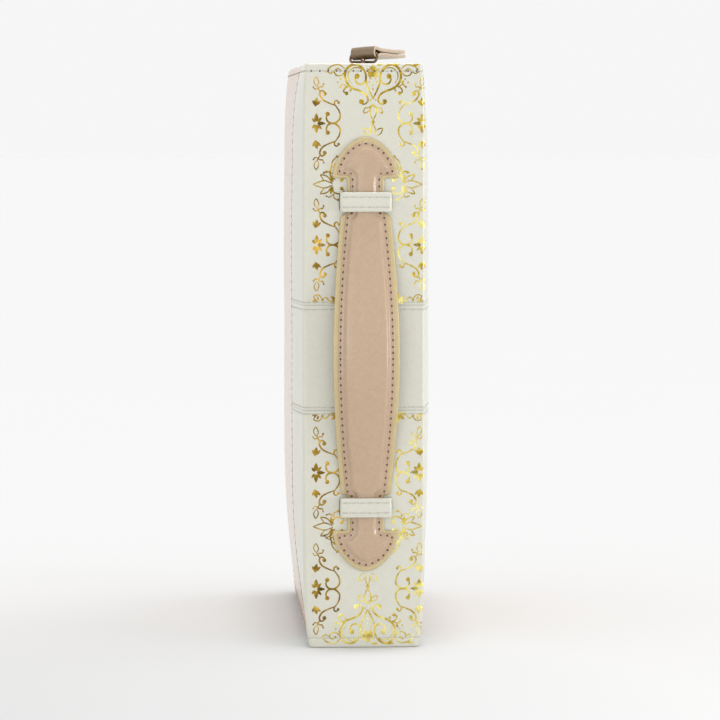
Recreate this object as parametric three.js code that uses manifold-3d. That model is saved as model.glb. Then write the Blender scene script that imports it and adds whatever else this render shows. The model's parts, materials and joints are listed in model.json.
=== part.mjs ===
// Zip-up leatherette case for a prayer book, with the book inside it.
// Millimetres. X runs across the thickness, with the front cover at -X, Y runs from
// the spine to the fore edge, and Z is up, so the case stands on its lower end.
// Pieces are laid out with the outer face of the spine at Y = 0, and the finished
// group is moved so that the origin is the middle of the underside.
import * as THREE from 'three';
import { mergeVertices } from 'three/addons/utils/BufferGeometryUtils.js';
import Module from 'manifold-3d';

const wasm = await Module();
wasm.setup();

// ---- driving dimensions ----

const GAP = 0.3; // between pieces that touch on the real object

// case
const CASE_HEIGHT = 258;
const CASE_DEPTH = 190; // spine face to fore edge
const RIM_HALF = 25.5; // half of the thickness across the rims of the two covers
const BULGE = 4; // the padded covers stand this far outside their rims
const BULGE_SLOPE = 19; // width of the rounded slope between rim and bulge
const CORNER_RADIUS = 22; // fore-edge corners
const SKIN = 1; // leather
const COVER_INNER = 23.6; // half distance between the backs of the two padded covers
const COVER_START = 3.8; // where a cover begins behind the spine face
const STRIP_DEPTH = 33; // cream strip beside the spine, before the tan panel

// spine
const SPINE_HALF = 22.3;
const BAND_BOTTOM = 105.5;
const BAND_TOP = 152;
const SPINE_BOARD = 1.5;
const SPINE_LINING = 0.6;
const FOLD_RADIUS = 1.5; // the skin rolls round this at each spine corner

// inside of each cover, as a stack from the outside in
const BOARD = 1.8;
const LINING = 0.8;
const BOOK_BOARD = 2;
const SLEEVE = 0.8;

// zip wall round the top, fore edge and bottom
const ZIP_RECESS = 3; // the wall's middle lies this far inside the rims
const GUSSET_THICK = 1.5;
const GUSSET_EDGE = 9.3; // half distance between the two gussets
const TAPE_THICK = 0.8;
const TAPE_EDGE = 4.1;
const COIL_THICK = 2.4;
const COIL_EDGE = 0.8;
const WALL_START = 4.2;
const CHAIN_START = 21.5; // the front chain begins beyond the sweep of the parked slider
const STOP_LENGTH = 3;
const SLIDER_START = 4.4;

// book
const BOOK_BOTTOM = 11;
const BOOK_TOP = 247;
const BOOK_FORE_EDGE = 166;
const PAGE_INSET = 3; // the pages are this much shorter than the boards
const PAGES_HALF = 8.1; // half the thickness of each half of the page block
const PAGES_START = 9.1;
const BOOK_SPINE_START = 5.6;

// carrying handle
const HANDLE_MID = 130; // height of its middle
const HANDLE_X = 0.7; // it is sewn on this far to the back cover's side of the middle
const HANDLE_REACH = 95.8; // middle to tip
const SHOULDER = 78.6; // middle to the shoulders of the arrow heads
const KEEPER_START = 63; // middle to the near edge of each keeper
const KEEPER_WIDTH = 8.6;
const SCARF = 50; // middle to the slanted joint between grip and end
const GRIP_HALF = 14.5;
const GRIP_END_HALF = 10.9;
const NECK_HALF = 8;
const HEAD_HALF = 14.6;
const BORDER = 2; // the backing shows this much outside the leather
const NECK_BORDER = 1.2; // and this much beside the necks
const HEAD_ROUNDNESS = 1.75; // 2 is an ellipse, 1 is a straight-sided arrow
const LIFT = 6.5; // the grip bows this far off the spine
const BACKING = 0.9;
const CORE = 1.8;
const GRIP_LEATHER = 1;
const END_LEATHER = 2;
const KEEPER_HALF = 11.4;
const KEEPER_WALL = 1.2;

// zip pull
const PULL_TURN = 27; // degrees that the pull is turned from the line of the zip
const RING_TILT = 62; // degrees that the ring stands above level
const RING_WIRE = 1.2;
const RING_HALF = 6; // half of the ring's inside width
const RING_REACH = 4.5; // between the middles of its two long sides
const TAB_LENGTH = 30;
const TAB_HALF = 5.8;
const TAB_THICK = 4.2;
const TAB_SLOT = 0.7;

// ---- values worked out from them ----

const BACK_OF_SKIN = SKIN + GAP;
const BACK_OF_SPINE_BOARD = BACK_OF_SKIN + SPINE_BOARD + GAP;
const BOARD_X = COVER_INNER - GAP;
const LINING_X = BOARD_X - BOARD - GAP;
const BOOK_BOARD_X = LINING_X - LINING - GAP;
const SLEEVE_X = BOOK_BOARD_X - BOOK_BOARD - GAP;
const PAGES_X = SLEEVE_X - SLEEVE - GAP;
const ZIP_TOP = CASE_HEIGHT - ZIP_RECESS;
const ZIP_FORE = CASE_DEPTH - ZIP_RECESS;
const WALL_INNER = ZIP_RECESS + GUSSET_THICK / 2 + GAP;
const BACKING_FRONT = GAP + BACKING;
const CORE_FRONT = BACKING_FRONT + GAP + CORE;
const GRIP_FRONT = CORE_FRONT + GAP + GRIP_LEATHER;
const END_FRONT = BACKING_FRONT + GAP + END_LEATHER;
const CASE_MID_Y = (CASE_DEPTH - LIFT - GRIP_FRONT) / 2;

// ---- materials ----

const leather = (color, roughness) =>
  new THREE.MeshStandardMaterial({ color, roughness, metalness: 0 });
const metal = (color, roughness) =>
  new THREE.MeshStandardMaterial({ color, roughness, metalness: 1 });
const CREAM = leather(0xeeeadb, 0.55);
const ROSE = leather(0xd5ae9c, 0.5);
const GOLD_BACKING = leather(0xcdb97a, 0.5);
const FOAM = leather(0xf4f1e6, 0.95);
const GREYBOARD = leather(0xa39b8b, 0.9);
const LINING_CLOTH = leather(0xd9cdb8, 0.85);
const ZIP_FABRIC = leather(0xe4dccb, 0.8);
const COIL_PLASTIC = leather(0xd8c9ad, 0.45);
const BOOK_COVER = leather(0x6b4a3c, 0.6);
const PAPER = leather(0xf2ead6, 0.9);
const RIBBON = leather(0xb98c7a, 0.5);
const BRONZE = metal(0x8d7460, 0.35);
const PULL_LEATHER = leather(0x9a7a68, 0.45);

// ---- geometry helpers ----

// Axis triples (local x, y, z in world axes) for an outline drawn in two axes and
// extruded along the third.
const ALONG_X = new THREE.Matrix4().makeBasis(
  new THREE.Vector3(0, 1, 0),
  new THREE.Vector3(0, 0, 1),
  new THREE.Vector3(1, 0, 0),
);
const ALONG_Y = new THREE.Matrix4().makeBasis(
  new THREE.Vector3(1, 0, 0),
  new THREE.Vector3(0, 0, 1),
  new THREE.Vector3(0, -1, 0),
);

const FLAT = { bevelEnabled: false, curveSegments: 10 };

// Outline in (y, z), extruded between two x values given in either order.
function extrudeX(shape, xA, xB) {
  const depth = Math.abs(xB - xA);
  const geometry = new THREE.ExtrudeGeometry(shape, { ...FLAT, depth });
  return geometry.applyMatrix4(ALONG_X).translate(Math.min(xA, xB), 0, 0);
}

// Outline in (x, z), extruded between two y values.
function extrudeY(shape, yLow, yHigh) {
  const geometry = new THREE.ExtrudeGeometry(shape, { ...FLAT, depth: yHigh - yLow });
  return geometry.applyMatrix4(ALONG_Y).translate(0, yHigh, 0);
}

// Outline in (x, y), extruded between two heights.
function extrudeZ(shape, zLow, zHigh) {
  const geometry = new THREE.ExtrudeGeometry(shape, { ...FLAT, depth: zHigh - zLow });
  return geometry.translate(0, 0, zLow);
}

// Box from two opposite corners, given in any order.
function boxBetween([xA, yA, zA], [xB, yB, zB]) {
  const geometry = new THREE.BoxGeometry(
    Math.abs(xB - xA),
    Math.abs(yB - yA),
    Math.abs(zB - zA),
  );
  return geometry.translate((xA + xB) / 2, (yA + yB) / 2, (zA + zB) / 2);
}

// Closed geometry to a solid for joining and cutting, and back.
function toSolid(geometry) {
  const bare = geometry.clone();
  bare.deleteAttribute('normal');
  bare.deleteAttribute('uv');
  const merged = mergeVertices(bare, 1e-4);
  return new wasm.Manifold(new wasm.Mesh({
    numProp: 3,
    vertProperties: new Float32Array(merged.attributes.position.array),
    triVerts: new Uint32Array(merged.index.array),
  }));
}

function toGeometry(solid) {
  const { numProp, vertProperties, triVerts } = solid.getMesh();
  const position = new Float32Array((vertProperties.length / numProp) * 3);
  for (let i = 0; i < position.length / 3; i += 1) {
    position.set(vertProperties.subarray(i * numProp, i * numProp + 3), i * 3);
  }
  const geometry = new THREE.BufferGeometry();
  geometry.setAttribute('position', new THREE.BufferAttribute(position, 3));
  geometry.setIndex(new THREE.BufferAttribute(new Uint32Array(triVerts), 1));
  return geometry;
}

const join = (...geometries) =>
  toGeometry(geometries.map(toSolid).reduce((a, b) => a.add(b)));
const cut = (geometry, ...tools) =>
  toGeometry(tools.map(toSolid).reduce((a, b) => a.subtract(b), toSolid(geometry)));
const common = (a, b) => toGeometry(toSolid(a).intersect(toSolid(b)));

const group = new THREE.Group();
group.position.y = -CASE_MID_Y;

function add(name, geometry, material, parent = group) {
  const mesh = new THREE.Mesh(geometry, material);
  mesh.name = name;
  parent.add(mesh);
  return mesh;
}

// Cover-shaped outline in (y, z): square at the spine, round at the fore edge.
function coverOutline(yStart, inset) {
  const yEnd = CASE_DEPTH - inset;
  const zLow = inset;
  const zHigh = CASE_HEIGHT - inset;
  const radius = CORNER_RADIUS - inset;
  const shape = new THREE.Shape();
  shape.moveTo(yStart, zLow);
  shape.lineTo(yEnd - radius, zLow);
  shape.absarc(yEnd - radius, zLow + radius, radius, -Math.PI / 2, 0, false);
  shape.lineTo(yEnd, zHigh - radius);
  shape.absarc(yEnd - radius, zHigh - radius, radius, 0, Math.PI / 2, false);
  shape.lineTo(yStart, zHigh);
  shape.closePath();
  return shape;
}

function rectangle(aLow, aHigh, bLow, bHigh) {
  const shape = new THREE.Shape();
  shape.moveTo(aLow, bLow);
  shape.lineTo(aHigh, bLow);
  shape.lineTo(aHigh, bHigh);
  shape.lineTo(aLow, bHigh);
  shape.closePath();
  return shape;
}

// ---- spine ----

function addSpine() {
  const panel = (name, zLow, zHigh) =>
    add(name, boxBetween([-SPINE_HALF, 0, zLow], [SPINE_HALF, SKIN, zHigh]), CREAM);
  panel('spine_panel_bottom', 0, BAND_BOTTOM - GAP);
  panel('spine_band', BAND_BOTTOM, BAND_TOP);
  panel('spine_panel_top', BAND_TOP + GAP, CASE_HEIGHT);

  const board = boxBetween(
    [-SPINE_HALF, BACK_OF_SKIN, SKIN],
    [SPINE_HALF, BACK_OF_SKIN + SPINE_BOARD, CASE_HEIGHT - SKIN],
  );
  add('spine_board', board, GREYBOARD);
  const lining = boxBetween(
    [-SPINE_HALF, BACK_OF_SPINE_BOARD, SKIN],
    [SPINE_HALF, BACK_OF_SPINE_BOARD + SPINE_LINING, CASE_HEIGHT - SKIN],
  );
  add('spine_lining', lining, LINING_CLOTH);
}

// The round strip of skin that each cover folds about.
function addHingeFold(name, side) {
  const fold = new THREE.CylinderGeometry(FOLD_RADIUS, FOLD_RADIUS, CASE_HEIGHT, 16);
  fold.rotateX(Math.PI / 2);
  fold.translate(side * (RIM_HALF - FOLD_RADIUS), FOLD_RADIUS, CASE_HEIGHT / 2);
  add(name, fold, CREAM);
}

// ---- covers ----

// Padded cover: a plateau with a rounded slope down to its rim, flat at the back.
function pillow(side, inset) {
  const slope = BULGE_SLOPE - inset;
  const rim = RIM_HALF - inset;
  const shape = coverOutline(COVER_START + inset, inset);
  const geometry = new THREE.ExtrudeGeometry(shape, {
    curveSegments: 8,
    depth: 2 * rim,
    bevelThickness: BULGE,
    bevelSize: slope,
    bevelOffset: -slope,
    bevelSegments: 4,
  });
  geometry.applyMatrix4(ALONG_X).translate(-rim, 0, 0);
  const keep = boxBetween(
    [side * COVER_INNER, 0, 0],
    [side * (RIM_HALF + BULGE), CASE_DEPTH, CASE_HEIGHT],
  );
  return common(geometry, keep);
}

function addPaddedCover(name, side) {
  const skin = cut(pillow(side, 0), pillow(side, SKIN));
  const seam = COVER_START + STRIP_DEPTH;
  const far = [side * (RIM_HALF + BULGE), CASE_DEPTH, CASE_HEIGHT];
  const near = [side * COVER_INNER, 0, 0];
  const strip = boxBetween(near, [far[0], seam, far[2]]);
  const panel = boxBetween([near[0], seam + GAP, 0], far);
  add(`${name}_wrap_strip`, common(skin, strip), CREAM);
  add(`${name}_panel`, common(skin, panel), ROSE);
  add(`${name}_foam`, pillow(side, SKIN + GAP), FOAM);
}

function addCoverInside(name, side) {
  const inside = coverOutline(WALL_START, WALL_INNER);
  const layer = (label, from, thickness, material) =>
    add(`${name}_${label}`, extrudeX(inside, side * from, side * (from - thickness)), material);
  layer('board', BOARD_X, BOARD, GREYBOARD);
  layer('lining', LINING_X, LINING, LINING_CLOTH);

  const boardOutline = rectangle(PAGES_START, BOOK_FORE_EDGE, BOOK_BOTTOM, BOOK_TOP);
  const bookBoard = extrudeX(
    boardOutline,
    side * BOOK_BOARD_X,
    side * (BOOK_BOARD_X - BOOK_BOARD),
  );
  add(`${name}_book_board`, bookBoard, BOOK_COVER);
}

// Pocket that the book's cover slides into, sewn to the lining on three sides.
function addBookSleeve(name, side) {
  const sleeveStart = CASE_DEPTH / 2 - WALL_INNER;
  const wall = 3;
  const outer = rectangle(
    sleeveStart,
    BOOK_FORE_EDGE + GAP + wall,
    BOOK_BOTTOM - GAP - wall,
    BOOK_TOP + GAP + wall,
  );
  const hollow = boxBetween(
    [side * COVER_INNER, 0, BOOK_BOTTOM - GAP],
    [side * SLEEVE_X, BOOK_FORE_EDGE + GAP, BOOK_TOP + GAP],
  );
  const block = extrudeX(outer, side * BOOK_BOARD_X, side * (SLEEVE_X - SLEEVE));
  add(`${name}_book_sleeve`, cut(block, hollow), LINING_CLOTH);
}

// ---- zip wall ----

// Outline in (y, z) of a band of the wall, which runs along the top, round the
// fore edge and back along the bottom.
function wallBand(thickness, topStart, bottomStart) {
  const half = thickness / 2;
  const radius = CORNER_RADIUS - ZIP_RECESS;
  const bend = ZIP_FORE - radius;
  const highBend = ZIP_TOP - radius;
  const lowBend = ZIP_RECESS + radius;
  const outer = radius + half;
  const inner = radius - half;
  const quarter = Math.PI / 2;
  const shape = new THREE.Shape();
  shape.moveTo(topStart, ZIP_TOP + half);
  shape.lineTo(bend, ZIP_TOP + half);
  shape.absarc(bend, highBend, outer, quarter, 0, true);
  shape.lineTo(ZIP_FORE + half, lowBend);
  shape.absarc(bend, lowBend, outer, 0, -quarter, true);
  shape.lineTo(bottomStart, ZIP_RECESS - half);
  shape.lineTo(bottomStart, ZIP_RECESS + half);
  shape.lineTo(bend, ZIP_RECESS + half);
  shape.absarc(bend, lowBend, inner, -quarter, 0, false);
  shape.lineTo(ZIP_FORE - half, highBend);
  shape.absarc(bend, highBend, inner, 0, quarter, false);
  shape.lineTo(topStart, ZIP_TOP - half);
  shape.closePath();
  return shape;
}

function addZipWall(name, side, chainStart) {
  const coilOuter = TAPE_EDGE - GAP;
  const chainEnd = WALL_START + STOP_LENGTH + GAP;
  const gusset = wallBand(GUSSET_THICK, WALL_START, WALL_START);
  const tape = wallBand(TAPE_THICK, WALL_START, WALL_START);
  const coil = wallBand(COIL_THICK, chainStart, chainEnd);
  add(`${name}_gusset`, extrudeX(gusset, side * BOARD_X, side * GUSSET_EDGE), CREAM);
  const tapeSolid = extrudeX(tape, side * (GUSSET_EDGE - GAP), side * TAPE_EDGE);
  add(`${name}_zip_tape`, tapeSolid, ZIP_FABRIC);
  add(`${name}_zip_coil`, extrudeX(coil, side * coilOuter, side * COIL_EDGE), COIL_PLASTIC);

  const stop = boxBetween(
    [side * COIL_EDGE, WALL_START, ZIP_RECESS - COIL_THICK / 2],
    [side * coilOuter, WALL_START + STOP_LENGTH, ZIP_RECESS + COIL_THICK / 2],
  );
  add(`${name}_zip_stop`, stop, BRONZE);
}

// ---- zip slider and pull ----

const PLATE_INNER = 1.5; // slider plates, measured from the middle of the chain
const PLATE_OUTER = 2.7;
const SLIDER_LENGTH = 10.5;
const SLIDER_HALF = 5.3;
const BAIL_HOLE_TOP = 4.6;
const BAIL_TOP = 5.3;
const PIVOT_UP = (PLATE_OUTER + BAIL_HOLE_TOP) / 2;
const PIVOT = [0, SLIDER_START + SLIDER_LENGTH / 2, ZIP_TOP + PIVOT_UP];

// Slider plate seen from above: round shoulders at the spine end, narrower tail.
function sliderPlate(up, down) {
  const shoulder = 3;
  const tail = 3.6;
  const shape = new THREE.Shape();
  shape.moveTo(-tail, SLIDER_LENGTH);
  shape.lineTo(-SLIDER_HALF, SLIDER_LENGTH - 2 * shoulder / 3);
  shape.lineTo(-SLIDER_HALF, shoulder);
  shape.absarc(shoulder - SLIDER_HALF, shoulder, shoulder, Math.PI, Math.PI * 1.5, false);
  shape.lineTo(SLIDER_HALF - shoulder, 0);
  shape.absarc(SLIDER_HALF - shoulder, shoulder, shoulder, -Math.PI / 2, 0, false);
  shape.lineTo(SLIDER_HALF, SLIDER_LENGTH - 2 * shoulder / 3);
  shape.lineTo(tail, SLIDER_LENGTH);
  shape.closePath();
  return extrudeZ(shape, down, up);
}

function addSlider() {
  const postHalf = 0.5;
  const postEnds = [0.6, 3.6];
  const flangeInner = 4.3;
  const flangeGap = 0.7;
  const flangeEnds = [3, 8.5];
  const bailHalf = 0.8;
  const bailInset = 1.4;
  const bailFoot = 0.2; // the bail's legs sink this far into the plate
  const bail = rectangle(
    bailInset,
    SLIDER_LENGTH - bailInset,
    PLATE_OUTER - bailFoot,
    BAIL_TOP,
  );
  const hole = rectangle(
    bailInset + 1,
    SLIDER_LENGTH - bailInset - 1,
    PLATE_OUTER,
    BAIL_HOLE_TOP,
  );
  const flanges = [-1, 1].flatMap((side) => [-1, 1].map((level) => boxBetween(
    [side * flangeInner, flangeEnds[0], level * flangeGap],
    [side * SLIDER_HALF, flangeEnds[1], level * PLATE_OUTER],
  )));
  const body = join(
    sliderPlate(PLATE_OUTER, PLATE_INNER),
    sliderPlate(-PLATE_INNER, -PLATE_OUTER),
    boxBetween([-postHalf, postEnds[0], -PLATE_OUTER], [postHalf, postEnds[1], PLATE_OUTER]),
    ...flanges,
    cut(extrudeX(bail, -bailHalf, bailHalf), extrudeX(hole, -2 * bailHalf, 2 * bailHalf)),
  );
  add('zip_slider', body.translate(0, SLIDER_START, ZIP_TOP), BRONZE);
}

// The pull's own frame stands at the slider's bail: x along the ring's bars,
// y the way that the tab points, z up.
function addPull() {
  const pull = new THREE.Group();
  pull.position.set(...PIVOT);
  pull.rotation.z = -THREE.MathUtils.degToRad(PULL_TURN);
  group.add(pull);

  const half = RING_WIRE / 2;
  const outer = RING_HALF + RING_WIRE;
  const bend = 0.8; // inside radius of the ring's corners
  const ringOutline = roundedRectangle(outer, -half, RING_REACH + half, 2 * bend);
  ringOutline.holes.push(roundedRectangle(RING_HALF, half, RING_REACH - half, bend));
  const ring = add('pull_ring', extrudeZ(ringOutline, -half, half), BRONZE, pull);
  ring.rotation.x = THREE.MathUtils.degToRad(RING_TILT);

  const tab = add('pull_tab', tabGeometry(), PULL_LEATHER, pull);
  tab.position.y = RING_REACH * Math.cos(ring.rotation.x);
  tab.position.z = RING_REACH * Math.sin(ring.rotation.x);
}

function roundedRectangle(halfWidth, low, high, radius) {
  const shape = new THREE.Shape();
  shape.moveTo(-halfWidth + radius, low);
  shape.absarc(halfWidth - radius, low + radius, radius, -Math.PI / 2, 0, false);
  shape.absarc(halfWidth - radius, high - radius, radius, 0, Math.PI / 2, false);
  shape.absarc(-halfWidth + radius, high - radius, radius, Math.PI / 2, Math.PI, false);
  shape.absarc(-halfWidth + radius, low + radius, radius, Math.PI, Math.PI * 1.5, false);
  return shape;
}

// Leather strip folded round the ring's bar, its two layers lying one on the other.
function tabGeometry() {
  const outer = TAB_THICK / 2;
  const eye = 1.15; // radius of the hole that the ring's bar passes through
  const slot = TAB_SLOT / 2;
  const mouth = Math.asin(slot / eye);
  const side = new THREE.Shape();
  side.moveTo(TAB_LENGTH, outer);
  side.lineTo(0, outer);
  side.absarc(0, 0, outer, Math.PI / 2, Math.PI * 1.5, false);
  side.lineTo(TAB_LENGTH, -outer);
  side.lineTo(TAB_LENGTH, -slot);
  side.absarc(0, 0, eye, 2 * Math.PI - mouth, mouth, true);
  side.lineTo(TAB_LENGTH, slot);
  side.closePath();
  const corner = 2; // radius of the far corners, with the near ones out beyond the eye
  const plan = roundedRectangle(TAB_HALF, -outer - corner, TAB_LENGTH, corner);
  return common(extrudeX(side, -TAB_HALF, TAB_HALF), extrudeZ(plan, -outer, outer));
}

// ---- book ----

// Half of the page block. Its spine end is round, so that it can turn in place.
function addPages(name, side) {
  const middle = side * (PAGES_X - PAGES_HALF);
  const pivotY = PAGES_START + PAGES_HALF;
  const shape = new THREE.Shape();
  shape.moveTo(middle + PAGES_HALF, BOOK_FORE_EDGE - PAGE_INSET);
  shape.lineTo(middle - PAGES_HALF, BOOK_FORE_EDGE - PAGE_INSET);
  shape.lineTo(middle - PAGES_HALF, pivotY);
  shape.absarc(middle, pivotY, PAGES_HALF, Math.PI, 2 * Math.PI, false);
  shape.closePath();
  add(name, extrudeZ(shape, BOOK_BOTTOM + PAGE_INSET, BOOK_TOP - PAGE_INSET), PAPER);
}

function addBook() {
  addPages('front_pages', -1);
  addPages('back_pages', 1);

  const spine = boxBetween(
    [-PAGES_X, BOOK_SPINE_START, BOOK_BOTTOM],
    [PAGES_X, BOOK_SPINE_START + BOOK_BOARD, BOOK_TOP],
  );
  add('book_spine', spine, BOOK_COVER);

  const bandHeight = 3; // of the two sewn bands at the ends of the page block's back
  const bandFront = BOOK_SPINE_START + BOOK_BOARD + GAP;
  const bandHalf = PAGES_X - 1;
  const endband = (name, zLow) => add(
    name,
    boxBetween([-bandHalf, bandFront, zLow], [bandHalf, PAGES_START - GAP, zLow + bandHeight]),
    RIBBON,
  );
  endband('endband_top', BOOK_TOP - PAGE_INSET - bandHeight);
  endband('endband_bottom', BOOK_BOTTOM + PAGE_INSET);

  const ribbonHalf = 0.15;
  const ribbonEnds = [30, 36];
  const ribbon = boxBetween(
    [-ribbonHalf, ribbonEnds[0], ZIP_RECESS + 4],
    [ribbonHalf, ribbonEnds[1], BOOK_TOP - PAGE_INSET - 2],
  );
  add('ribbon_marker', ribbon, RIBBON);
}

// ---- carrying handle ----

// Front outline in (x, z about the handle's middle), symmetric both ways: a long
// grip, a narrow neck under each keeper and a domed arrow head at each end.
function handleOutline(border, neckBorder) {
  const grip = GRIP_HALF - border;
  const gripEnd = GRIP_END_HALF - border;
  const neck = NECK_HALF - neckBorder;
  const head = HEAD_HALF - border;
  const neckStart = KEEPER_START - 0.5;
  const gripStop = neckStart - 1.2;
  const straight = 0.45 * neckStart; // the grip's sides are nearly straight up to here
  const shoulder = SHOULDER + neckBorder;
  const tip = HANDLE_REACH - border;
  const domeSteps = 9;
  const dome = (step) => {
    const angle = (step / domeSteps) * (Math.PI / 2);
    const power = 2 / HEAD_ROUNDNESS;
    const across = head * Math.cos(angle) ** power;
    return [across, shoulder + (tip - shoulder) * Math.sin(angle) ** power];
  };

  const shape = new THREE.Shape();
  shape.moveTo(grip, 0);
  const quarter = (sx, sz, draw) => draw((x, z) => [sx * x, sz * z]);
  const upward = (at) => {
    shape.quadraticCurveTo(...at(grip, straight), ...at(gripEnd, gripStop));
    shape.lineTo(...at(neck, neckStart));
    shape.lineTo(...at(neck, shoulder));
    for (let step = 0; step <= domeSteps; step += 1) shape.lineTo(...at(...dome(step)));
  };
  const downward = (at) => {
    for (let step = domeSteps - 1; step >= 0; step -= 1) shape.lineTo(...at(...dome(step)));
    shape.lineTo(...at(neck, shoulder));
    shape.lineTo(...at(neck, neckStart));
    shape.lineTo(...at(gripEnd, gripStop));
    shape.quadraticCurveTo(...at(grip, straight), ...at(grip, 0));
  };
  quarter(1, 1, upward);
  quarter(-1, 1, downward);
  quarter(-1, -1, upward);
  quarter(1, -1, downward);
  return shape;
}

// How far the grip's back stands off the spine at a height from its middle.
function standOff(z) {
  const share = Math.min(1, Math.abs(z) / KEEPER_START);
  return LIFT * (1 - share * share) ** 2;
}

// Side view in (y, z) of one layer of the strap, between two distances from the
// spine, cut off by two heights at the strap's middle line. The cuts slant so that
// an end can slide in behind the grip as the grip is pulled away.
function handleSide(back, front, zLow, zHigh, slantLow, slantHigh) {
  const steps = 16;
  const shape = new THREE.Shape();
  const heightAt = (y, z, slant) => z + slant * (y + standOff(z));
  const start = -(standOff(zLow) + back);
  shape.moveTo(start, heightAt(start, zLow, slantLow));
  for (let i = 1; i < steps; i += 1) {
    const z = zLow + (zHigh - zLow) * (i / steps);
    shape.lineTo(-(standOff(z) + back), z);
  }
  for (const [z, slant, distance] of [
    [zHigh, slantHigh, back],
    [zHigh, slantHigh, front],
  ]) {
    const y = -(standOff(z) + distance);
    shape.lineTo(y, heightAt(y, z, slant));
  }
  for (let i = steps - 1; i > 0; i -= 1) {
    const z = zLow + (zHigh - zLow) * (i / steps);
    shape.lineTo(-(standOff(z) + front), z);
  }
  const end = -(standOff(zLow) + front);
  shape.lineTo(end, heightAt(end, zLow, slantLow));
  shape.closePath();
  return shape;
}

function addHandle() {
  const slant = 0.5; // steeper than the path of the ends
  const beyond = -2 * (LIFT + GRIP_FRONT); // further out than any layer of the strap
  const plain = extrudeY(handleOutline(0, 0), beyond, 0);
  const bordered = extrudeY(handleOutline(BORDER, NECK_BORDER), beyond, 0);
  const layer = (name, outline, material, side) => {
    const geometry = common(outline, extrudeX(side, -HEAD_HALF - 1, HEAD_HALF + 1));
    add(name, geometry.translate(HANDLE_X, 0, HANDLE_MID), material);
  };

  const grip = (back, front) => handleSide(back, front, -SCARF, SCARF, slant, -slant);
  layer('handle_backing', plain, GOLD_BACKING, grip(GAP, BACKING_FRONT));
  layer('handle_core', bordered, FOAM, grip(BACKING_FRONT + GAP, CORE_FRONT));
  layer('handle_leather', bordered, ROSE, grip(CORE_FRONT + GAP, GRIP_FRONT));

  const near = SCARF + 2 * GAP;
  const far = HANDLE_REACH + 1;
  for (const [name, low, high, lowSlant, highSlant] of [
    ['handle_top', near, far, -slant, 0],
    ['handle_bottom', -far, -near, 0, slant],
  ]) {
    const end = (back, front) => handleSide(back, front, low, high, lowSlant, highSlant);
    layer(`${name}_backing`, plain, GOLD_BACKING, end(GAP, BACKING_FRONT));
    layer(`${name}_leather`, bordered, ROSE, end(BACKING_FRONT + GAP, END_FRONT));
  }
}

// Loop that the strap's neck slides through, open towards the spine.
function addKeeper(name, middle) {
  const inner = KEEPER_HALF - KEEPER_WALL;
  const ceiling = -(END_FRONT + GAP);
  const shape = new THREE.Shape();
  shape.moveTo(-KEEPER_HALF, -GAP);
  shape.lineTo(-KEEPER_HALF, ceiling - KEEPER_WALL);
  shape.lineTo(KEEPER_HALF, ceiling - KEEPER_WALL);
  shape.lineTo(KEEPER_HALF, -GAP);
  shape.lineTo(inner, -GAP);
  shape.lineTo(inner, ceiling);
  shape.lineTo(-inner, ceiling);
  shape.lineTo(-inner, -GAP);
  shape.closePath();
  const loop = extrudeZ(shape, middle - KEEPER_WIDTH / 2, middle + KEEPER_WIDTH / 2);
  add(name, loop.translate(HANDLE_X, 0, 0), CREAM);
}

// ---- assembly ----

addSpine();
addHandle();
addKeeper('keeper_top', HANDLE_MID + KEEPER_START + KEEPER_WIDTH / 2);
addKeeper('keeper_bottom', HANDLE_MID - KEEPER_START - KEEPER_WIDTH / 2);
for (const [name, side, chainStart] of [
  ['front', -1, CHAIN_START],
  ['back', 1, WALL_START],
]) {
  addHingeFold(`${name}_hinge_fold`, side);
  addPaddedCover(name, side);
  addCoverInside(name, side);
  addBookSleeve(name, side);
  addZipWall(name, side, chainStart);
}
addSlider();
addPull();
addBook();

export default group;
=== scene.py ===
"""Looks of the zip-up prayer book case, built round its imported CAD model.

Shapes are drawn in millimetres. X runs across the thickness with the front cover at -X,
Y runs from the spine's outer face to the fore edge, and Z is up.
"""

import json
import math

import bmesh
import bpy
import numpy as np
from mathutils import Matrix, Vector
from mathutils.geometry import delaunay_2d_cdt


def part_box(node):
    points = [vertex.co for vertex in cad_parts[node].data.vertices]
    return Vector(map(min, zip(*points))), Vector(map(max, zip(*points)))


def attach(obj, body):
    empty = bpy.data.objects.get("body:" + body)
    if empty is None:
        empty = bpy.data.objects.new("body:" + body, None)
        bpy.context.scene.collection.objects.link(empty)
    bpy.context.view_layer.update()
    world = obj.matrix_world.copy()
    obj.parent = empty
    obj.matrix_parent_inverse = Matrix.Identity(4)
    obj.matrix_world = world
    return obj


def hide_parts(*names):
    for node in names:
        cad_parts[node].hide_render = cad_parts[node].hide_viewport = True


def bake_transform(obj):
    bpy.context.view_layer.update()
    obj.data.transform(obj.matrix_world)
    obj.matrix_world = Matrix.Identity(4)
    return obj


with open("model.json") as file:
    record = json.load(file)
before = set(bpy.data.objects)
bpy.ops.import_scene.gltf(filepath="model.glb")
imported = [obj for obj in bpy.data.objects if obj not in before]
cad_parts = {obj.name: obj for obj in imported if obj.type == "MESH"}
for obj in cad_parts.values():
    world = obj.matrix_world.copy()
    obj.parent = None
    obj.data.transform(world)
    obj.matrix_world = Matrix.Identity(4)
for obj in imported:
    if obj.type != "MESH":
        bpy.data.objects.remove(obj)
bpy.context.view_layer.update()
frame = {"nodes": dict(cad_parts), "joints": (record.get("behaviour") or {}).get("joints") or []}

# ---- sizes, from the frame ----

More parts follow.
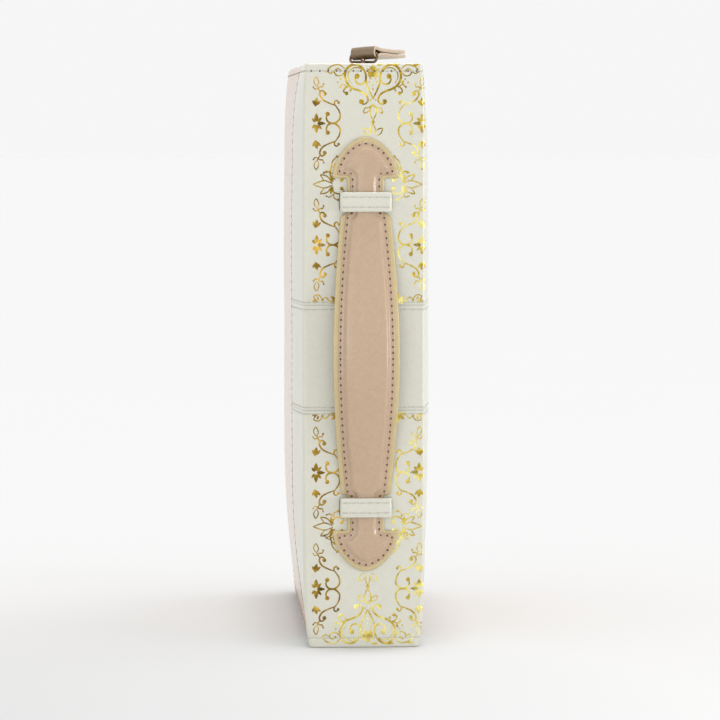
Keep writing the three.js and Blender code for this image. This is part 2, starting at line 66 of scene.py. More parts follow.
MM = 0.001
FACE_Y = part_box("spine_band")[0].y
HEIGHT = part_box("spine_panel_top")[1].z / MM
DEPTH = (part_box("front_panel")[1].y - FACE_Y) / MM
SEAM_Y = (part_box("front_wrap_strip")[1].y - FACE_Y) / MM
BAND_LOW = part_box("spine_band")[0].z / MM
BAND_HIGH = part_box("spine_band")[1].z / MM
BOARD_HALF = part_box("back_board")[1].x / MM
HANDLE_MID = (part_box("handle_leather")[0].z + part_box("handle_leather")[1].z) / 2 / MM
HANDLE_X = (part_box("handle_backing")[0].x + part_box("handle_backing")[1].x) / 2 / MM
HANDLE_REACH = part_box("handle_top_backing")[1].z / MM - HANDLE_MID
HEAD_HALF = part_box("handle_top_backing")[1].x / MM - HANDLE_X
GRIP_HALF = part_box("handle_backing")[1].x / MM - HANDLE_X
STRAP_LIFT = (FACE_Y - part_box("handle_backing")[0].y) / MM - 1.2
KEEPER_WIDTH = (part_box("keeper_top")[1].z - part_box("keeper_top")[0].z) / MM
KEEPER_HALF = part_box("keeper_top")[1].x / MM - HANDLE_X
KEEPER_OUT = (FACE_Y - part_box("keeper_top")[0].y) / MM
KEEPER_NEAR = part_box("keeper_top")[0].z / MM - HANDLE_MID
JOINT = {joint["name"]: joint for joint in frame["joints"]}

# ---- sizes of the soft outer shape ----

SKIN = 1.0  # thickness of the leather
CORNER_R = 1.7  # how round the spine's corners are
TOP_PINCH = 1.5  # how much narrower half of the spine is at its top
FOOT_PINCH = 3.1  # and at its bottom
END_R = 0.9  # how round the skin's folded edges are at the top and bottom
FORE_R = 22.0  # how round the fore-edge corners are
HALF_AT_CORNER = 27.2  # half of the spine's width, corners included
HALF_AT_PLATEAU = 30.4  # half of the case's thickness across the padded covers
RIM_R = 1.3  # how round the padded covers' rims are
COVER_ROW = 3.3  # the covers' stitches are this far from their rims
TURN_IN = 4.0  # the skin's edge is folded in by this much
FACE_S = HALF_AT_CORNER - CORNER_R  # length of skin from the middle to a corner
CORNER_S = CORNER_R * math.pi / 2  # length of skin round a corner
STRIP_S = FACE_S + CORNER_S + SEAM_Y - CORNER_R  # length of skin from the middle to the seam
LOW_SEAM = BAND_LOW - 0.15
HIGH_SEAM = BAND_HIGH - 0.15
SEAM_ROWS = ((LOW_SEAM, (-1.5, 1.4)), (HIGH_SEAM, (-1.9, 1.3)))  # rows of stitches beside the seams
LOW_ROW = 4.4  # rows of stitches along the ends of the spine
HIGH_ROW = HEIGHT - 3.4
HOLE_GAP = 1.0  # between the ends of two threads
SEAM_VALLEY = 0.9  # how deep the seams are between the skin and the padded panels
FOLDED_X = 21.2  # the padded panels are folded in as far as this
SIDES = {"front": -1, "back": 1}


# ---- materials ----


class Nodes:
    """A new material with short calls for the nodes that the looks here use."""

    def __init__(self, name, **values):
        self.material = bpy.data.materials.new(name)
        self.material.use_nodes = True
        self.tree = self.material.node_tree
        self.shader = self.tree.nodes["Principled BSDF"]
        for key, value in values.items():
            self.shader.inputs[key.replace("_", " ")].default_value = value
        self.where = self.add("ShaderNodeTexCoord").outputs["Object"]

    def add(self, kind, inputs=(), **settings):
        node = self.tree.nodes.new(kind)
        for key, value in settings.items():
            setattr(node, key, value)
        for key, value in dict(inputs).items():
            if isinstance(value, bpy.types.NodeSocket):
                self.tree.links.new(value, node.inputs[key])
            else:
                node.inputs[key].default_value = value
        return node

    def stretched(self, x, y, z):
        """Coordinates scaled per axis."""
        scale = {0: self.where, 1: (x, y, z)}
        return self.add("ShaderNodeVectorMath", scale, operation="MULTIPLY").outputs[0]

    def noise(self, scale, detail=3.0, where=None, roughness=0.5):
        inputs = {"Vector": where or self.where, "Scale": scale, "Detail": detail}
        inputs["Roughness"] = roughness
        return self.add("ShaderNodeTexNoise", inputs).outputs["Fac"]

    def cells(self, scale, feature="F1"):
        inputs = {"Vector": self.where, "Scale": scale}
        return self.add("ShaderNodeTexVoronoi", inputs, feature=feature).outputs["Distance"]

    def waves(self, scale, where, distortion=0.0):
        inputs = {"Vector": where, "Scale": scale, "Distortion": distortion}
        return self.add("ShaderNodeTexWave", inputs, bands_direction="X").outputs["Fac"]

    def spread(self, value, low=0.0, high=1.0, low_in=0.3, high_in=0.7):
        """value, moved from one range to another."""
        inputs = {0: value, 1: low_in, 2: high_in, 3: low, 4: high}
        return self.add("ShaderNodeMapRange", inputs).outputs[0]

    def blend(self, share, first, second):
        inputs = {0: share, 6: first, 7: second}
        return self.add("ShaderNodeMix", inputs, data_type="RGBA").outputs[2]

    def tones(self, share, colour, low, high):
        """From a darker to a lighter shade of one colour."""
        return self.blend(share, shade(colour, low), shade(colour, high))

    def combined(self, first, second, operation="MULTIPLY"):
        inputs = {0: first, 1: second}
        return self.add("ShaderNodeMath", inputs, operation=operation).outputs[0]

    def colour(self, socket):
        self.tree.links.new(socket, self.shader.inputs["Base Color"])

    def rough(self, socket):
        self.tree.links.new(socket, self.shader.inputs["Roughness"])

    def bumps(self, *layers):
        """Dents of the surface and its coat, in layers of (height, depth in mm, strength)."""
        normal = None
        for height, depth, strength in layers:
            inputs = {"Height": height, "Distance": depth * MM, "Strength": strength}
            if normal:
                inputs["Normal"] = normal
            normal = self.add("ShaderNodeBump", inputs).outputs[0]
        for side in ("Normal", "Coat Normal"):
            self.tree.links.new(normal, self.shader.inputs[side])


def shade(colour, factor=1.0):
    """A linear colour from three sRGB values of 0 to 255, made darker or lighter."""
    linear = [((c / 255 + 0.055) / 1.055) ** 2.4 for c in colour]
    return (*[min(1.0, c * factor) for c in linear], 1.0)


def leather(name, colour, grain_mm, uneven, wrinkles, coat, **values):
    """Grained leatherette: pebbles, pores, soft wrinkles, and a slightly uneven colour."""
    look = Nodes(name, Coat_Weight=coat, Coat_Roughness=0.2, Coat_IOR=1.58, **values)
    grain = 1 / (grain_mm * MM)
    pebbles = look.cells(grain, "SMOOTH_F1")
    pores = look.noise(2.2 * grain, 4.0)
    creases = look.noise(150, 6.0, look.stretched(1.0, 1.0, 0.5), 0.62)
    mottle = look.noise(420, 5.0, None, 0.7)
    patches = look.tones(look.spread(mottle), colour, 1 - uneven, 1 + uneven / 2)
    gaps = look.spread(pebbles, 0.0, 0.5, 0.35, 0.8)
    look.colour(look.blend(gaps, patches, shade(colour, 1 - 2.5 * uneven)))
    look.rough(look.spread(look.combined(mottle, pores, "ADD"), 0.34, 0.52, 0.7, 1.3))
    look.bumps((creases, 0.3, wrinkles), (pebbles, 0.09, 0.7), (pores, 0.04, 0.5))
    return look.material


def foil(name, dark, colour, glint):
    """Hot-stamped metal foil with crinkles: painted shade and painted glints in its colour, in patches
    from a dark tone to a bright glint.
    """
    look = Nodes(name, Metallic=1.0)
    crinkle = look.noise(1500, 3.0)
    facets = look.noise(420, 3.0, None, 0.6)
    painted_glint_patches = look.noise(150, 2.0)
    # Painted shade and painted glint: the colour goes in noise patches from the dark tone through the
    # foil's colour to the glint.
    base = look.blend(look.spread(facets, 0.0, 1.0, 0.36, 0.62), shade(dark), shade(colour))
    look.colour(look.blend(look.spread(painted_glint_patches, 0.0, 1.0, 0.46, 0.68), base, shade(glint)))
    look.rough(look.spread(crinkle, 0.2, 0.4))
    look.bumps((crinkle, 0.05, 0.5), (facets, 0.12, 0.5))
    return look.material


def thread(name, colour):
    """Twisted sewing thread."""
    look = Nodes(name, Roughness=0.7)
    twist = look.waves(1100, look.stretched(1.0, 0.8, 0.9), 1.5)
    look.colour(look.tones(twist, colour, 0.7, 1.1))
    look.bumps((twist, 0.08, 0.8))
    return look.material


def woven(name, colour, pitch_mm):
    """Plain weave: two crossed sets of yarns, with slubs."""
    look = Nodes(name, Roughness=0.85, Sheen_Weight=0.15)
    turns = 1 / (pitch_mm * MM * math.pi)
    across = look.waves(turns, look.stretched(1.0, 0.0, 0.0))
    along = look.waves(turns, look.stretched(0.0, 0.0, 1.0))
    weave = look.combined(across, along)
    slub = look.noise(240, 3.0)
    yarn = look.tones(weave, colour, 0.72, 1.05)
    look.colour(look.blend(look.spread(slub, 0.0, 0.35), yarn, shade(colour, 0.85)))
    look.bumps((weave, 0.12, 0.8), (slub, 0.1, 0.3))
    return look.material


def metal(name, colour, roughness, metallic=1.0):
    """Cast and plated metal, or hard plastic: faint polishing marks and duller patches."""
    look = Nodes(name, Metallic=metallic)
    marks = look.noise(900, 4.0, look.stretched(1.0, 0.12, 1.0))
    dull = look.noise(300, 3.0)
    look.colour(look.tones(look.spread(dull), colour, 0.8, 1.1))
    look.rough(look.spread(dull, roughness - 0.08, roughness + 0.12))
    look.bumps((marks, 0.03, 0.4))
    return look.material


def page_edges(name, colour):
    """Edges of thin leaves: fine lines along the block, a few darker than the rest."""
    look = Nodes(name, Roughness=0.88)
    lines = look.noise(1.0, 4.0, look.stretched(7000.0, 4.0, 4.0), 0.7)
    gathers = look.noise(1.0, 2.0, look.stretched(900.0, 3.0, 3.0))
    tone = look.tones(look.spread(lines), colour, 0.86, 1.03)
    look.colour(look.blend(look.spread(gathers, 0.0, 0.18), tone, shade(colour, 0.75)))
    look.bumps((lines, 0.1, 0.6), (gathers, 0.2, 0.4))
    return look.material


def pressed_board(name, colour):
    """Grey bookbinder's board: fibres and flecks."""
    look = Nodes(name, Roughness=0.9)
    fibres = look.noise(700, 5.0, look.stretched(1.0, 1.0, 0.3))
    flecks = look.spread(look.cells(900), 0.0, 0.7, 0.12, 0.2)
    tone = look.tones(look.spread(fibres), colour, 0.85, 1.08)
    look.colour(look.blend(flecks, shade(colour, 0.6), tone))
    look.bumps((fibres, 0.08, 0.5))
    return look.material


def open_foam(name, colour):
    """Foam sheet: small open cells."""
    look = Nodes(name, Roughness=0.95)
    bubbles = look.cells(1400)
    look.colour(look.tones(look.spread(bubbles, 0.0, 1.0, 0.1, 0.6), colour, 0.8, 1.0))
    look.bumps((bubbles, 0.3, 0.8))
    return look.material


def satin(name, colour):
    """Satin ribbon: fine ribs and a soft shine."""
    look = Nodes(name, Roughness=0.38, Sheen_Weight=0.4)
    ribs = look.waves(1500, look.stretched(0.0, 1.0, 0.0))
    look.colour(look.tones(ribs, colour, 0.85, 1.1))
    look.bumps((ribs, 0.04, 0.4))
    return look.material


def needle_hole(name, colour):
    """Shadowed hole where a thread goes down through the leather."""
    look = Nodes(name, Roughness=0.9)
    look.colour(look.tones(look.noise(2500), colour, 0.7, 1.2))
    return look.material


CREAM = leather("cream_leather", (212, 211, 197), 0.6, 0.035, 0.4, 0.6)
WARM_COAT = (1.0, 0.975, 0.92, 1.0)
ROSE = leather("rose_leather", (189, 162, 136), 0.6, 0.075, 0.85, 1.0, Coat_Tint=WARM_COAT)
GOLD_EDGE = leather("gold_leather", (205, 186, 140), 0.5, 0.08, 0.6, 0.4, Metallic=0.3)
PULL_LEATHER = leather("pull_leather", (196, 168, 136), 0.5, 0.1, 0.5, 0.9, Metallic=0.2)
# Painted shade: a darker copy of the pull's leather for its roll.
PULL_LEATHER_PAINTED_SHADE = leather("pull_leather_roll_painted_shade", (134, 110, 84), 0.5, 0.12, 0.6, 0.7, Metallic=0.5)
BOOK_COVER = leather("book_leather", (92, 62, 48), 0.7, 0.12, 0.7, 0.3)
# Three copies of one foil: painted shade for the front side, a middle tone for the top motif, and
# painted glare for the back side and the bottom motif.
FOIL_PAINTED_SHADE = foil("foil_painted_shade", (112, 90, 36), (166, 134, 54), (222, 182, 86))
FOIL = foil("foil_middle", (128, 106, 34), (200, 168, 56), (246, 224, 108))
FOIL_PAINTED_GLARE = foil("foil_painted_glare", (172, 146, 58), (226, 200, 92), (252, 240, 150))
THREAD = thread("rose_thread", (198, 170, 152))
CREAM_THREAD = thread("cream_thread", (206, 204, 190))
HOLE = needle_hole("needle_hole_dark", (98, 72, 68))
ROSE_HOLE = needle_hole("needle_hole_rose", (140, 112, 98))
CREAM_HOLE = needle_hole("needle_hole_grey", (186, 184, 171))
# Painted shade in the slits where the keepers go into the spine.
KEEPER_SLIT_SHADE = needle_hole("keeper_slit_painted_shade", (118, 110, 96))
LINING_CLOTH = woven("lining_cloth", (217, 205, 184), 0.55)
ZIP_FABRIC = woven("zip_fabric", (228, 220, 203), 0.4)
FOAM = open_foam("foam", (244, 241, 230))
GREYBOARD = pressed_board("greyboard", (163, 155, 139))
BRONZE = metal("bronze_metal", (128, 104, 84), 0.26)
PAPER = page_edges("paper", (238, 231, 212))
RIBBON = satin("ribbon", (185, 140, 122))
COIL = metal("coil_plastic", (216, 201, 173), 0.4, 0.0)

# ---- mesh helpers ----


def loft(rings, closed=False):
    """Points and faces of a skin over a row of rings, with its ends closed unless it meets itself."""
    rings = np.asarray(rings, float)
    count, around = rings.shape[:2]
    faces = []
    for i in range(count if closed else count - 1):
        a, b = i * around, (i + 1) % count * around
        for k in range(around):
            n = (k + 1) % around
            faces.append((a + k, a + n, b + n, b + k))
    if not closed:
        faces.append(tuple(range(around))[::-1])
        faces.append(tuple((count - 1) * around + k for k in range(around)))
    return rings.reshape(-1, 3), faces


def make_piece(name, parts, materials, sharp=50):
    """One object from (points, faces, material number) parts in millimetres."""
    points, faces, numbers = [], [], []
    count = 0
    for part_points, part_faces, *number in parts:
        points.append(part_points)
        faces += [tuple(count + i for i in face) for face in part_faces]
        numbers += (number or [0]) * len(part_faces)
        count += len(part_points)
    placed = np.concatenate(points) * MM + (0.0, FACE_Y, 0.0)
    mesh = bpy.data.meshes.new(name)
    mesh.from_pydata(placed.tolist(), [], faces)
    mesh.polygons.foreach_set("material_index", numbers)
    work = bmesh.new()
    work.from_mesh(mesh)
    bmesh.ops.recalc_face_normals(work, faces=work.faces)
    for face in work.faces:
        face.smooth = True
    work.to_mesh(mesh)
    work.free()
    for material in materials:
        mesh.materials.append(material)
    mesh.set_sharp_from_angle(angle=math.radians(sharp))
    piece = bpy.data.objects.new(name, mesh)
    bpy.context.scene.collection.objects.link(piece)
    return piece


def assign(piece, slot, *replaced, body=None):
    """The CAD nodes that a piece stands for, and the body it moves with. The material slot is not used.
    """
    if replaced:
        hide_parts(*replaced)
    if body:
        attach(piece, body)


def oval(centre, first, second, sides):
    """Points round a centre, from its two half-axes."""
    turns = np.arange(sides) * 2 * math.pi / sides
    return [centre + first * math.cos(a) + second * math.sin(a) for a in turns]


def smooth(value, low, high):
    """0 below low, 1 above high, and an even S between them."""
    share = np.clip((value - low) / (high - low), 0, 1)
    return share * share * (3 - 2 * share)


def dip(distance, width):
    """1 at a line, falling to 0 within about twice the width."""
    return np.exp(-((distance / width) ** 2))


def distance_to(points, outline):
    """Distance of each point to a closed outline."""
    best = np.full(len(points), 1e9)
    for start, end in zip(outline, np.roll(outline, -1, axis=0)):
        run = end - start
        share = np.clip((points - start) @ run / max(run @ run, 1e-12), 0, 1)
        gap = points - start - share[:, None] * run
        best = np.minimum(best, np.hypot(gap[:, 0], gap[:, 1]))
    return best


def inside(points, outline):
    """Whether each point lies inside a closed outline."""
    odd = np.zeros(len(points), bool)
    x, y = points[:, 0], points[:, 1]
    for (ax, ay), (bx, by) in zip(outline, np.roll(outline, -1, axis=0)):
        if ay != by:
            crosses = (ay > y) != (by > y)
            odd ^= crosses & (x < (bx - ax) * (y - ay) / (by - ay) + ax)
    return odd


def fill(outline, insets, spacing, full_outline=None):
    """Points and triangles inside an outline, with rows of points along the full outline."""
    full = outline if full_outline is None else full_outline
    along = np.roll(full, -1, axis=0) - np.roll(full, 1, axis=0)
    along /= np.hypot(*along.T)[:, None]
    inward = np.stack([-along[:, 1], along[:, 0]], axis=1)
    points = [outline]
    for inset in insets:
        moved = full + inward * inset
        keep = inside(moved, outline) & (distance_to(moved, full) > inset * 0.985)
        keep &= distance_to(moved, outline) > 0.1
        row = list(moved[keep])
        thinned = row[:1]
        for p in row[1:]:
            if math.hypot(*(p - thinned[-1])) > 0.35 * spacing:
                thinned.append(p)
        if thinned:
            points.append(np.array(thinned))
    low, high = outline.min(0), outline.max(0)
    columns = np.arange(low[0], high[0], spacing)
    rows = np.arange(low[1], high[1], spacing * 0.87)
    grid = np.array([(c + (k % 2) * spacing / 2, r) for k, r in enumerate(rows) for c in columns])
    keep = inside(grid, outline) & (distance_to(grid, full) > max(insets) + 0.5 * spacing)
    grid = grid[keep]
    points.append(grid[distance_to(grid, outline) > 0.4 * spacing])
    points = np.concatenate(points)
    ring = [(i, (i + 1) % len(outline)) for i in range(len(outline))]
    found = delaunay_2d_cdt([Vector(p) for p in points], ring, [], 1, 1e-5)
    return np.array([tuple(p) for p in found[0]]), [tuple(f) for f in found[2]]


def pad(triangles, front, back):
    """Closed pad from the triangles of a filled outline, and the places of its front and back."""
    count = len(front)
    faces = list(triangles) + [tuple(i + count for i in t[::-1]) for t in triangles]
    edges = [(t[i], t[(i + 1) % len(t)]) for t in triangles for i in range(len(t))]
    known = set(edges)
    faces += [(b, a, a + count, b + count) for a, b in edges if (b, a) not in known]
    return np.concatenate([front, back]), faces


def run_lengths(path):
    """How far along an open path each of its points is."""
    return np.concatenate([[0], np.cumsum(np.linalg.norm(np.diff(path, axis=0), axis=1))])


def resample(path, step):
    """Points at even steps along an open path."""
    lengths = run_lengths(path)
    count = max(2, int(round(lengths[-1] / step)) + 1)
    at = np.linspace(0, lengths[-1], count)
    return np.stack([np.interp(at, lengths, column) for column in path.T], axis=1)


def spline(points, per=7):
    """Smooth curve through a few points."""
    p = np.asarray(points, float)
    p = np.concatenate([[2 * p[0] - p[1]], p, [2 * p[-1] - p[-2]]])
    out = []
    for a, b, c, d in zip(p, p[1:], p[2:], p[3:]):
        for t in np.arange(per) / per:
            bend = (2 * a - 5 * b + 4 * c - d) * t**2 + (3 * b - 3 * c + d - a) * t**3
            out.append(0.5 * (2 * b + (c - a) * t + bend))
    out.append(p[-2])
    return np.array(out)


def unit(vectors):
    """Vectors of the same direction and of length 1."""
    vectors = np.asarray(vectors, float)
    return vectors / np.maximum(np.linalg.norm(vectors, axis=-1, keepdims=True), 1e-9)


def stitch_parts(path, outward, pitch, width, hole, rise=0.2):
    """Arched threads at an even pitch along a path, with a needle hole between each two."""
    outward = np.broadcast_to(np.asarray(outward, float), path.shape)
    lengths = run_lengths(path)
    count = max(1, int(round(lengths[-1] / pitch)))
    pitch = lengths[-1] / count
    half = (pitch - HOLE_GAP) / 2

    def at(distance, values):
        return np.array([np.interp(distance, lengths, column) for column in values.T])

    def axes(distance):
        run = unit(at(distance + 0.4, path) - at(distance - 0.4, path))
        out = unit(at(distance, outward))
        return at(distance, path), run, out, unit(np.cross(run, out))

    parts = []
    for k in range(count):
        centre, run, out, across = axes((k + 0.5) * pitch)
        rings = []
        for t in np.linspace(-1, 1, 7):
            radius = width / 2 * math.sqrt(max(0.1, 1 - abs(t) ** 3))
            spot = centre + run * (t * half) + out * (rise * (1 - t * t) - 0.14)
            rings.append(oval(spot, across * radius, out * 0.75 * radius, 6))
        parts.append((*loft(rings), 0))
    for k in range(count + 1):
        distance = min(max(k * pitch, 0.45), lengths[-1] - 0.45)
        spot, run, out, across = axes(distance)
        parts.append((*lens(spot, run * hole * 1.1, across * hole, out * 0.09), 1))
    return parts


def lens(spot, along, across, out, sides=10):
    """Small disc with a rounded top on a surface, from its two half-axes and its height."""
    rings = []
    for share, level in ((0.15, 1.0), (0.75, 0.8), (1.0, 0.2), (0.7, -1.2), (0.1, -1.6)):
        rings.append(oval(spot + out * level, along * share, across * share, sides))
    return loft(rings)


# ---- soft outer shape of the case ----


def corner_half(z):
    """Half of the spine's width at a height: narrower where the ends are pinched."""
    top = TOP_PINCH * np.exp(-(HEIGHT - z) / 12)
    return HALF_AT_CORNER - top - FOOT_PINCH * np.exp(-z / 14)


def plateau_half(y, z):
    """Half of the thickness across the padded covers: less towards the top and the bottom."""
    top = (4.6 - 2.0 * smooth(y, 40, 150)) * np.exp(-(HEIGHT - z) / 15)
    return HALF_AT_PLATEAU - top - 6.6 * np.exp(-((z / 33) ** 1.5))


def cover_half(y, z):
    """How far a cover's surface is from the middle of the case."""
    near = corner_half(z)
    rise = smooth(y, CORNER_R - 6, 30)
    start = smooth(np.asarray(CORNER_R, float), CORNER_R - 6, 30)
    swell = near + (plateau_half(y, z) - near) * (rise - start) / (1 - start)
    fore = 3.6 * np.exp(-(DEPTH - y) / 18) * smooth(z, -10, 60)
    waves = 0.14 * np.sin(y * 0.11 + 1.3 * np.sin(z * 0.045)) * np.sin(z * 0.06 + 0.5)
    settle = smooth(y, CORNER_R, 20) * smooth(DEPTH - y, 0, 14)
    return swell - fore + waves * settle


def edge_roll(distance, radius):
    """How far a rolled edge falls back at a distance from it."""
    share = np.clip(1 - distance / radius, 0, 1)
    return radius * (1 - np.sqrt(1 - share * share))


def end_roll(z):
    """How far the skin falls back at the case's top and bottom edges."""
    return max(edge_roll(z, END_R), edge_roll(HEIGHT - z, END_R))


def skin_point(side, s, z, depth):
    """A point of the wrapped skin. s runs from the spine's middle round a corner to the seam."""
    s, z, depth = np.broadcast_arrays(*(np.asarray(v, float) for v in (s, z, depth)))
    flat = corner_half(z) - CORNER_R
    turn = np.clip((s - FACE_S) / CORNER_R, 0, math.pi / 2)
    beyond = np.maximum(s - FACE_S - CORNER_S, 0)
    x = np.minimum(s, FACE_S) * flat / FACE_S + CORNER_R * np.sin(turn)
    y = CORNER_R * (1 - np.cos(turn)) + beyond + 0.5 * (np.minimum(s, FACE_S) / FACE_S) ** 2
    y = y - 0.5 * smooth(beyond, 0, 12)
    x = np.where(beyond > 0, cover_half(y, z), x)
    inward = depth + SEAM_VALLEY * dip(STRIP_S - s, 0.6)
    return np.stack([side * (x - np.sin(turn) * inward), y + np.cos(turn) * inward, z], axis=-1)


def surface_depth(z):
    """How far the skin dips at the seams and the rows of stitches, at a height."""
    depth = 0.15 * (dip(z - LOW_ROW, 0.7) + dip(z - HIGH_ROW, 0.7))
    for seam, offsets in SEAM_ROWS:
        depth = depth + 0.22 * dip(z - seam, 0.35)
        for offset in offsets:
            depth = depth + 0.08 * dip(z - seam - offset, 0.6)
    return depth


def s_of(x, z):
    """Length of skin from the middle of the spine to the place seen at x, and on past the corner."""
    flat = corner_half(z) - CORNER_R
    if abs(x) <= flat:
        return abs(x) * FACE_S / flat
    past = (abs(x) - flat) / CORNER_R
    return FACE_S + CORNER_R * (math.asin(min(1.0, past)) + max(0.0, past - 1.0))


def skin_profile(low, high):
    """Closed outline (depth, z) of a panel of skin between two heights, folded in at the case's ends."""
    outer = []
    steps = np.array([0.0, 0.12, 0.35, 0.7, 1.1, 1.6, 2.2, 2.9, 3.6, 4.4, 5.2, 6.5, 9.0])
    middle = np.linspace(low + 13, high - 13, max(2, int((high - low) / 6)))
    heights = np.unique(np.concatenate([low + steps, middle, high - steps]))
    for z in heights:
        outer.append((surface_depth(z) + end_roll(z), z))
    fold = [(2.4, 0.0), (3.4, 0.12), (TURN_IN, 0.5), (TURN_IN + 0.1, 1.2), (TURN_IN - 0.6, 1.2)]
    fold += [(TURN_IN - 1.0, 0.85), (1.8, 0.8)]
    top = [(depth, HEIGHT - rise) for depth, rise in fold] if high >= HEIGHT else []
    bottom = [(depth, rise) for depth, rise in fold][::-1] if low <= 0 else []
    inner_low = low + (1.6 if low <= 0 else 0.5)
    inner_high = high - (1.6 if high >= HEIGHT else 0.5)
    inner = [(SKIN + 0.2, z) for z in np.linspace(inner_high, inner_low, 12)]
    return np.array(outer + top + inner + bottom)


def skin_lengths():
    """Where across the skin its mesh has a row of points."""
    face = np.linspace(0, FACE_S - 1.5, 13)
    corner = np.linspace(FACE_S - 0.7, FACE_S + CORNER_S + 0.7, 12)
    strip = np.linspace(FACE_S + CORNER_S + 2.0, STRIP_S - 3, 13)
    seam = STRIP_S - np.array([2.0, 1.3, 0.8, 0.45, 0.2, 0.05])
    return np.concatenate([face, corner, strip, seam])


def bend_at_corner(piece, name):
    """The piece's place is baked into its mesh."""
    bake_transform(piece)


def near_middle(s):
    """1 at the spine's middle line, where the two halves of the skin meet, 0 beyond it."""
    return 1 - smooth(s, 0, 12)


def build_skin():
    """Cream skin: three panels a side, from the middle of the spine round the corner to the seam."""
    gap = 0.04
    panels = (
        ("top", "spine_panel_top", HIGH_SEAM + gap, HEIGHT),
        ("band", "spine_band", LOW_SEAM + gap, HIGH_SEAM - gap),
        ("bottom", "spine_panel_bottom", 0.0, LOW_SEAM - gap),
    )
    for name, side in SIDES.items():
        for part, node, low, high in panels:
            depth, z = skin_profile(low, high).T
            rings = []
            for s in skin_lengths():
                rings.append(skin_point(side, s, z, depth) + (HANDLE_X * near_middle(s), 0, 0))
            piece = make_piece(f"skin_{part}_{name}", [loft(rings)], [CREAM], sharp=70)
            assign(piece, "cream_leather", node, f"{name}_hinge_fold", f"{name}_wrap_strip")
            bend_at_corner(piece, name)


# ---- padded covers ----


def rim_distance(y, z):
    """Distance to the rim of a cover along its top, fore edge and bottom."""
    low = np.minimum(z, HEIGHT - z)
    straight = np.minimum(low, DEPTH - y)
    at_corner = (y > DEPTH - FORE_R) & (low < FORE_R)
    round_gap = FORE_R - np.hypot(y - (DEPTH - FORE_R), FORE_R - low)
    return np.where(at_corner, round_gap, straight)


def cover_outline(start, inset, step=2.5):
    """Outline (y, z) of a cover from y = start, square there and round at the fore edge."""
    end, low, high = DEPTH - inset, inset, HEIGHT - inset
    radius = FORE_R - inset
    arc = np.linspace(0, math.pi / 2, 15)
    lower = [(end - radius + radius * math.sin(a), low + radius - radius * math.cos(a)) for a in arc]
    upper = [(y, HEIGHT - z) for y, z in lower[::-1]]
    corners = [np.array([(start, low), lower[0]]), np.array(lower)]
    corners += [np.array([lower[-1], upper[0]]), np.array(upper)]
    corners += [np.array([upper[-1], (start, high)]), np.array([(start, high), (start, low)])]
    runs = [run if len(run) > 2 else resample(run, step) for run in corners]
    return np.concatenate([run[:-1] for run in runs])


def build_cover(name):
    """Padded tan panel of a cover, the foam under it, and its row of stitches."""
    side, body = SIDES[name], f"{name}_cover"
    start = SEAM_Y + 0.15

    def place(x, y, z):
        return np.stack([side * x, y, z], axis=1)

    rows = (0.12, 0.35, 0.7, 1.1, 1.6, 2.2, 3.0, 4.0, 5.4, 7.5, 10.5)
    points, triangles = fill(cover_outline(start, 0), rows, 5.0)
    y, z = points.T
    rim = rim_distance(y, z)
    outer = cover_half(y, z) - edge_roll(rim, RIM_R) - SEAM_VALLEY * dip(y - start, 0.6)
    outer = outer - 0.22 * (dip(rim - COVER_ROW, 0.8) + dip(y - start - 2.4, 0.8) * (rim > 2))
    inner = outer - SKIN - (outer - SKIN - FOLDED_X) * (1 - smooth(rim, 1.0, 2.2))
    parts = [pad(triangles, place(outer, y, z), place(inner, y, z))]
    panel = make_piece(f"cover_panel_{name}", parts, [ROSE], sharp=60)
    assign(panel, "rose_leather", f"{name}_panel", body=body)

    points, triangles = fill(cover_outline(8.0, 8.0, 6.0), (2.0, 5.0), 9.0)
    y, z = points.T
    outer = np.maximum(cover_half(y, z) - SKIN - 0.4, BOARD_HALF + 0.5)
    outer = outer - 0.4 * dip(y - SEAM_Y, 2.0)
    inner = np.full(len(y), BOARD_HALF + 0.25)
    parts = [pad(triangles, place(outer, y, z), place(inner, y, z))]
    assign(make_piece(f"cover_foam_{name}", parts, [FOAM]), "foam", f"{name}_foam", body=body)

    edge = cover_outline(SEAM_Y + 2.5, COVER_ROW)
    y, z = resample(np.concatenate([edge, edge[:1]]), 1.0).T
    spots = place(cover_half(y, z) - 0.05, y, z)
    parts = stitch_parts(spots, (side, 0, 0), pitch=3.7, width=0.55, hole=0.3)
    assign(make_piece(f"cover_stitches_{name}", parts, [THREAD, ROSE_HOLE]), "thread", body=body)


def build_seam_stitches():
    """Rows of stitches beside the seams and along the ends of the spine, round to the covers."""
    low_rows = [LOW_ROW] + [seam + offset for seam, offsets in SEAM_ROWS for offset in offsets]
    rows = (("top", [HIGH_ROW], HOLE, 0.4), ("seam", low_rows, CREAM_HOLE, 0.28))
    lengths = np.linspace(1.0, STRIP_S - 1.5, 80)
    for name, side in SIDES.items():
        for where, heights, hole, hole_size in rows:
            parts = []
            for z in heights:
                depth = surface_depth(z) - 0.04
                path = skin_point(side, lengths, z, depth)
                outward = unit(path - skin_point(side, lengths, z, depth + 1))
                parts += stitch_parts(path, outward, pitch=3.7, width=0.5, hole=hole_size)
            piece = make_piece(f"{where}_stitches_{name}", parts, [CREAM_THREAD, hole])
            assign(piece, "cream_thread")
            bend_at_corner(piece, name)


# ---- foil ornament ----
# A stroke is (points, width, ball radius at its end). A side group is drawn with u towards
# the middle of the spine and v up, and only its upper half is drawn.

